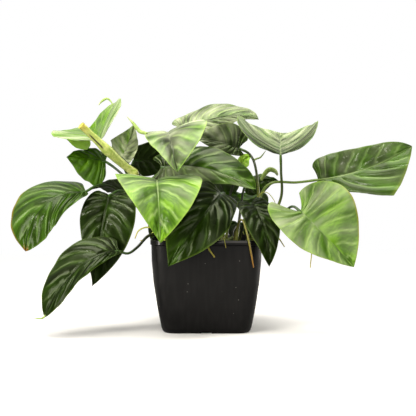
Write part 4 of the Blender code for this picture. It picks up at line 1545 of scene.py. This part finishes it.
WITHERED_STRIPS = Strands("withered_strips", Slot.LEAF_LIME, (
    (((-58.9, -34, 197.8), 1.5), ((-62.5, -31, 198.9), 1.8), ((-66.3, -29, 200.2), 1.9),
     ((-70, -28, 204.5), 1.8), ((-73.2, -27, 208.7), 1.4), ((-76.2, -26, 211.9), 0.8),
     ((-79.2, -26, 215), 0.4)),
    (((-95.8, 8.9, 228.2), 0.6), ((-98.5, 9.5, 232.5), 0.8), ((-102, 10, 234.8), 1.2),
     ((-106.3, 10, 232.9), 1.3), ((-111, 10, 228.2), 0.5)),
    (((48.6, 7.1, 171.9), 1.0), ((52, 6, 173.5), 0.9), ((55, 6, 174.5), 0.8), ((58, 6, 178), 0.6),
     ((60.5, 6, 181.5), 0.3)),
    (((57, 26, 151), 1.4), ((60, 25, 157), 2.2), ((65, 24, 162), 2.5), ((71, 24, 160.5), 2.2),
     ((74, 24, 156), 1.0)),
    (((-154, -69.8, 23), 1.0), ((-158.5, -71, 19), 0.9), ((-163, -72, 18.6), 0.7),
     ((-167, -73, 19.4), 0.3)),
))


@dataclass
class CutFlowerStalk:
    """The cut flower stalk: fluted above its swollen joint, with a dark seam and a hollow cut end.

    Attributes:
        knots: points from its foot, and the radius at each.
        sides: sides of its tube.
        flutes: how many grooves run along it, and flute_deep, their depth as a share of the radius.
        flare: how much wider its cut end is, and hollow, how deep the hollow in that is.
        joint: where the joint is, as a share of the stalk.
        seam_from: where the seam starts, as a share of the stalk, and seam_to, where it ends.
        seam_turn: which way it faces, as a share of a turn.
    """

    knots: Knots = (
        ((-26, -15, 74), 2.0), ((-44, -11, 112), 2.1), ((-69, -10, 151), 2.4),
        ((-73, -13, 158), 5.0), ((-77, -16, 162), 4.0), ((-85, -22, 168.5), 4.0),
        ((-99, -34, 182), 4.9), ((-108, -39, 191), 3.8), ((-123, -48, 206), 3.2),
    )
    sides: int = 36
    flutes: int = 9
    flute_deep: float = 0.03
    flare: float = 0.12
    hollow: float = 2.2
    joint: float = 0.535
    seam_from: float = 0.8
    seam_to: float = 0.95
    seam_turn: float = 0.3

    def build(self) -> None:
        """Make the stalk as one piece."""
        line = spline([(*place, radius) for place, radius in self.knots], 1.0)
        share = np.linspace(0, 1, len(line))[:, None]
        turns = np.arange(self.sides)[None, :] / self.sides
        above = ease(share, self.joint, self.joint + 0.05)
        flutes = 1 + self.flute_deep * np.sin(2 * math.pi * self.flutes * turns) * above
        uneven = flutes + 0.035 * ripple(share * 6, turns * 2, 5)
        flare = 1 + self.flare * ease(share, 0.97, 1.0)
        shape = tube(line[:, :3], line[:, 3:] * uneven * flare, self.sides)
        shape.points[-1] = shape.points[-1] - self.hollow * unit(line[-1, :3] - line[-3, :3])
        along = shape.values["along"]
        around = np.append(np.tile(turns[0], len(line)), [0.0, 0.0])
        off = np.abs((around - self.seam_turn + 0.5) % 1.0 - 0.5)
        begun = ease(along, self.seam_from, self.seam_from + 0.03)
        ended = ease(along, self.seam_to, self.seam_to - 0.03)
        shape.values["seam"] = ease(off, 0.04, 0.02) * (begun * ended)
        near_joint = np.exp(-(((along - self.joint) / 0.018) ** 2))
        shape.values["dry"] = np.clip(0.8 * ease(along, 0.94, 1.0) + 0.7 * near_joint, 0, 1)
        shape.values["deep"] = ease(along, self.joint - 0.01, self.joint - 0.05)
        finish = CutStalkFinish().material()
        make_piece("cut_flower_stalk_skin", [shape], [finish], ("cut_flower_stalk",))


# Studio


@dataclass(frozen=True)
class Softbox:
    """A rectangular studio light.

    Attributes:
        name: its name.
        place: where it stands, in metres.
        aim: the point that it faces, in metres.
        size: its width and height, in metres.
        power: in watts.
        tint: its colour.
    """

    name: str
    place: Place
    aim: Place
    size: Pair
    power: float
    tint: str = "#fff9ee"

    def build(self) -> None:
        """Add the light."""
        lamp = bpy.data.lights.new(self.name, "AREA")
        lamp.shape = "RECTANGLE"
        lamp.size, lamp.size_y = self.size
        lamp.energy = self.power
        lamp.color = linear(self.tint)[:3]
        holder = new_object(self.name, lamp)
        holder.location = self.place
        holder.rotation_euler = (Vector(self.aim) - Vector(self.place)).to_track_quat("-Z", "Y").to_euler()


@dataclass
class Studio:
    """A pale floor that runs into a white surround, soft lights, and the camera at the photograph's angle.

    Attributes:
        white: how bright the floor and the surround look to the camera.
        overhead: light from above, by how steeply it comes down.
        behind: light from behind, by how squarely it comes from there.
        floor_rings: radii of the rings of the floor's mesh.
        floor_sides: sides of those rings.
        floor_near: how far out the floor is matt, and floor_far, from where on it only glows.
        floor_bounce: how much light it throws back on the object.
        camera_away: how far the camera is from its target.
        camera_rise: how far it looks down, in degrees.
        target: the point in the middle of its picture.
        seen_width: how much it sees across, at the target.
        sensor: the width of its sensor, in millimetres.
        lights: the softboxes.
    """

    white: float = 1.0
    overhead: Span = (0.3, 1.0, 0.04, 0.35)
    behind: Span = (0.0, 0.9, 0.0, 0.5)
    floor_rings: Place = (0.5, 1.5, 9.0)
    floor_sides: int = 64
    floor_near: float = 0.35
    floor_far: float = 1.2
    floor_bounce: float = 0.22
    camera_away: float = 1.3
    camera_rise: float = 2.0
    target: Place = (0.0015, 0.0, 0.123)
    seen_width: float = 0.4243
    sensor: float = 36.0
    lights: tuple[Softbox, ...] = (
        Softbox("overhead", (-0.15, -0.1, 1.3), (0, 0, 0.12), (0.9, 0.9), 20),
        Softbox("front_left", (-0.8, -1.5, 1.25), (0, 0, 0.12), (0.55, 0.1), 14),
        Softbox("front", (0.35, -1.7, 0.75), (0, 0, 0.12), (1.3, 0.8), 8),
        Softbox("left_strip", (-1.0, -0.9, 0.4), (0, 0, 0.06), (0.34, 1.1), 14),
        Softbox("right", (1.15, 0.65, 0.45), (0, 0, 0.1), (0.5, 0.9), 13),
    )

    def floor(self) -> None:
        """Add the floor: matt near the object, and glowing white like the surround further out."""
        material, tree, place, _ = new_tree("studio_floor")
        away = add_node(tree, "VectorMath", {"operation": "LENGTH"}, (place,)).outputs["Value"]
        share = add_node(tree, "MapRange", {"interpolation_type": "SMOOTHSTEP"}, (
            away, self.floor_near, self.floor_far,
        ))
        seen = add_node(tree, "LightPath").outputs["Is Camera Ray"]
        bounce = add_node(tree, "MapRange", inputs=(seen, 0.0, 1.0, self.floor_bounce, self.white))
        matt = add_node(tree, "BsdfDiffuse", inputs={"Color": bounce})
        glow = add_node(tree, "Emission", inputs={"Color": WHITE, "Strength": bounce})
        mix = add_node(tree, "MixShader", inputs=(share, matt, glow))
        add_node(tree, "OutputMaterial", inputs=(mix,))
        sides = self.floor_sides
        turns = 2 * math.pi * np.arange(sides) / sides
        points = [(0.0, 0.0, 0.0)]
        faces = []
        for ring, radius in enumerate(self.floor_rings):
            points += [(radius * math.cos(t), radius * math.sin(t), 0.0) for t in turns]
            for i in range(sides):
                a, b = 1 + ring * sides + i, 1 + ring * sides + (i + 1) % sides
                faces.append((0, a, b) if ring == 0 else (a - sides, a, b, b - sides))
        mesh = bpy.data.meshes.new("studio_floor")
        mesh.from_pydata(points, [], faces)
        mesh.materials.append(material)
        plane = new_object("studio_floor", mesh)

    def surround(self) -> None:
        """Light the scene from all round: white to the camera, brightest overhead and dim in front."""
        world = bpy.data.worlds.new("studio")
        world.use_nodes = True
        tree = world.node_tree
        tree.nodes.clear()
        ray = add_node(tree, "LightPath").outputs["Is Camera Ray"]
        direction = add_node(tree, "TexCoord").outputs["Generated"]
        parts = add_node(tree, "SeparateXYZ", inputs=(direction,))
        rise = add_node(tree, "MapRange", inputs=(parts.outputs["Z"], *self.overhead))
        behind = add_node(tree, "MapRange", inputs=(parts.outputs["Y"], *self.behind))
        total = add_node(tree, "Math", {"operation": "ADD"}, (rise, behind))
        seen = add_node(tree, "Background", inputs={"Color": WHITE, "Strength": self.white})
        lit = add_node(tree, "Background", inputs={"Color": WHITE, "Strength": total})
        mix = add_node(tree, "MixShader", inputs=(ray, lit, seen))
        add_node(tree, "OutputWorld", inputs=(mix,))
        bpy.context.scene.world = world

    def camera(self) -> None:
        """Add the camera, level with the plant and looking a little down, as the photograph does."""
        data = bpy.data.cameras.new("camera")
        data.sensor_width = self.sensor
        data.lens = self.sensor * self.camera_away / self.seen_width
        rise = math.radians(self.camera_rise)
        target = Vector(self.target)
        holder = new_object("camera", data)
        holder.location = target + self.camera_away * Vector((0, -math.cos(rise), math.sin(rise)))
        holder.rotation_euler = (target - holder.location).to_track_quat("-Z", "Y").to_euler()
        bpy.context.scene.camera = holder

    def build(self) -> None:
        """Add the floor, the surround, the lights and the camera."""
        self.camera()
        self.floor()
        self.surround()
        for light in self.lights:
            light.build()
        bpy.context.scene.view_settings.view_transform = "Standard"


def main() -> None:
    """Dress the whole object and set up the studio."""
    logging.basicConfig(level=logging.INFO, format="%(message)s")
    Studio().build()
    pot = Pot()
    pot.build()
    Soil(pot).build()
    CREEPING_STEM.build(RootFinish("creeping_stem_skin", "#5c5e2c", "#5b6b2a", "#2c2414").material())
    root_skin = RootFinish("root_skin", "#d6dc62", "#d8c85c", "#a09c44").material()
    old_root_skin = RootFinish("old_root_skin", "#8d8c40", "#a8721f", "#5f5628").material()
    for root in ROOTS:
        root.build(old_root_skin if root.node == "root_front_long" else root_skin)
    FINE_ROOTS.build(root_skin)
    WITHERED_STRIPS.build(RootFinish("withered_strip", "#a9c46a", "#dbe3b4", "#7c9440").material())
    CutFlowerStalk().build()
    stalk = StalkFinish().material()
    blades = {tone: finish.material() for tone, finish in BLADES.items()}
    for leaf in LEAVES:
        leaf.build(blades[leaf.tone], stalk)


if __name__ == "__main__":
    main()
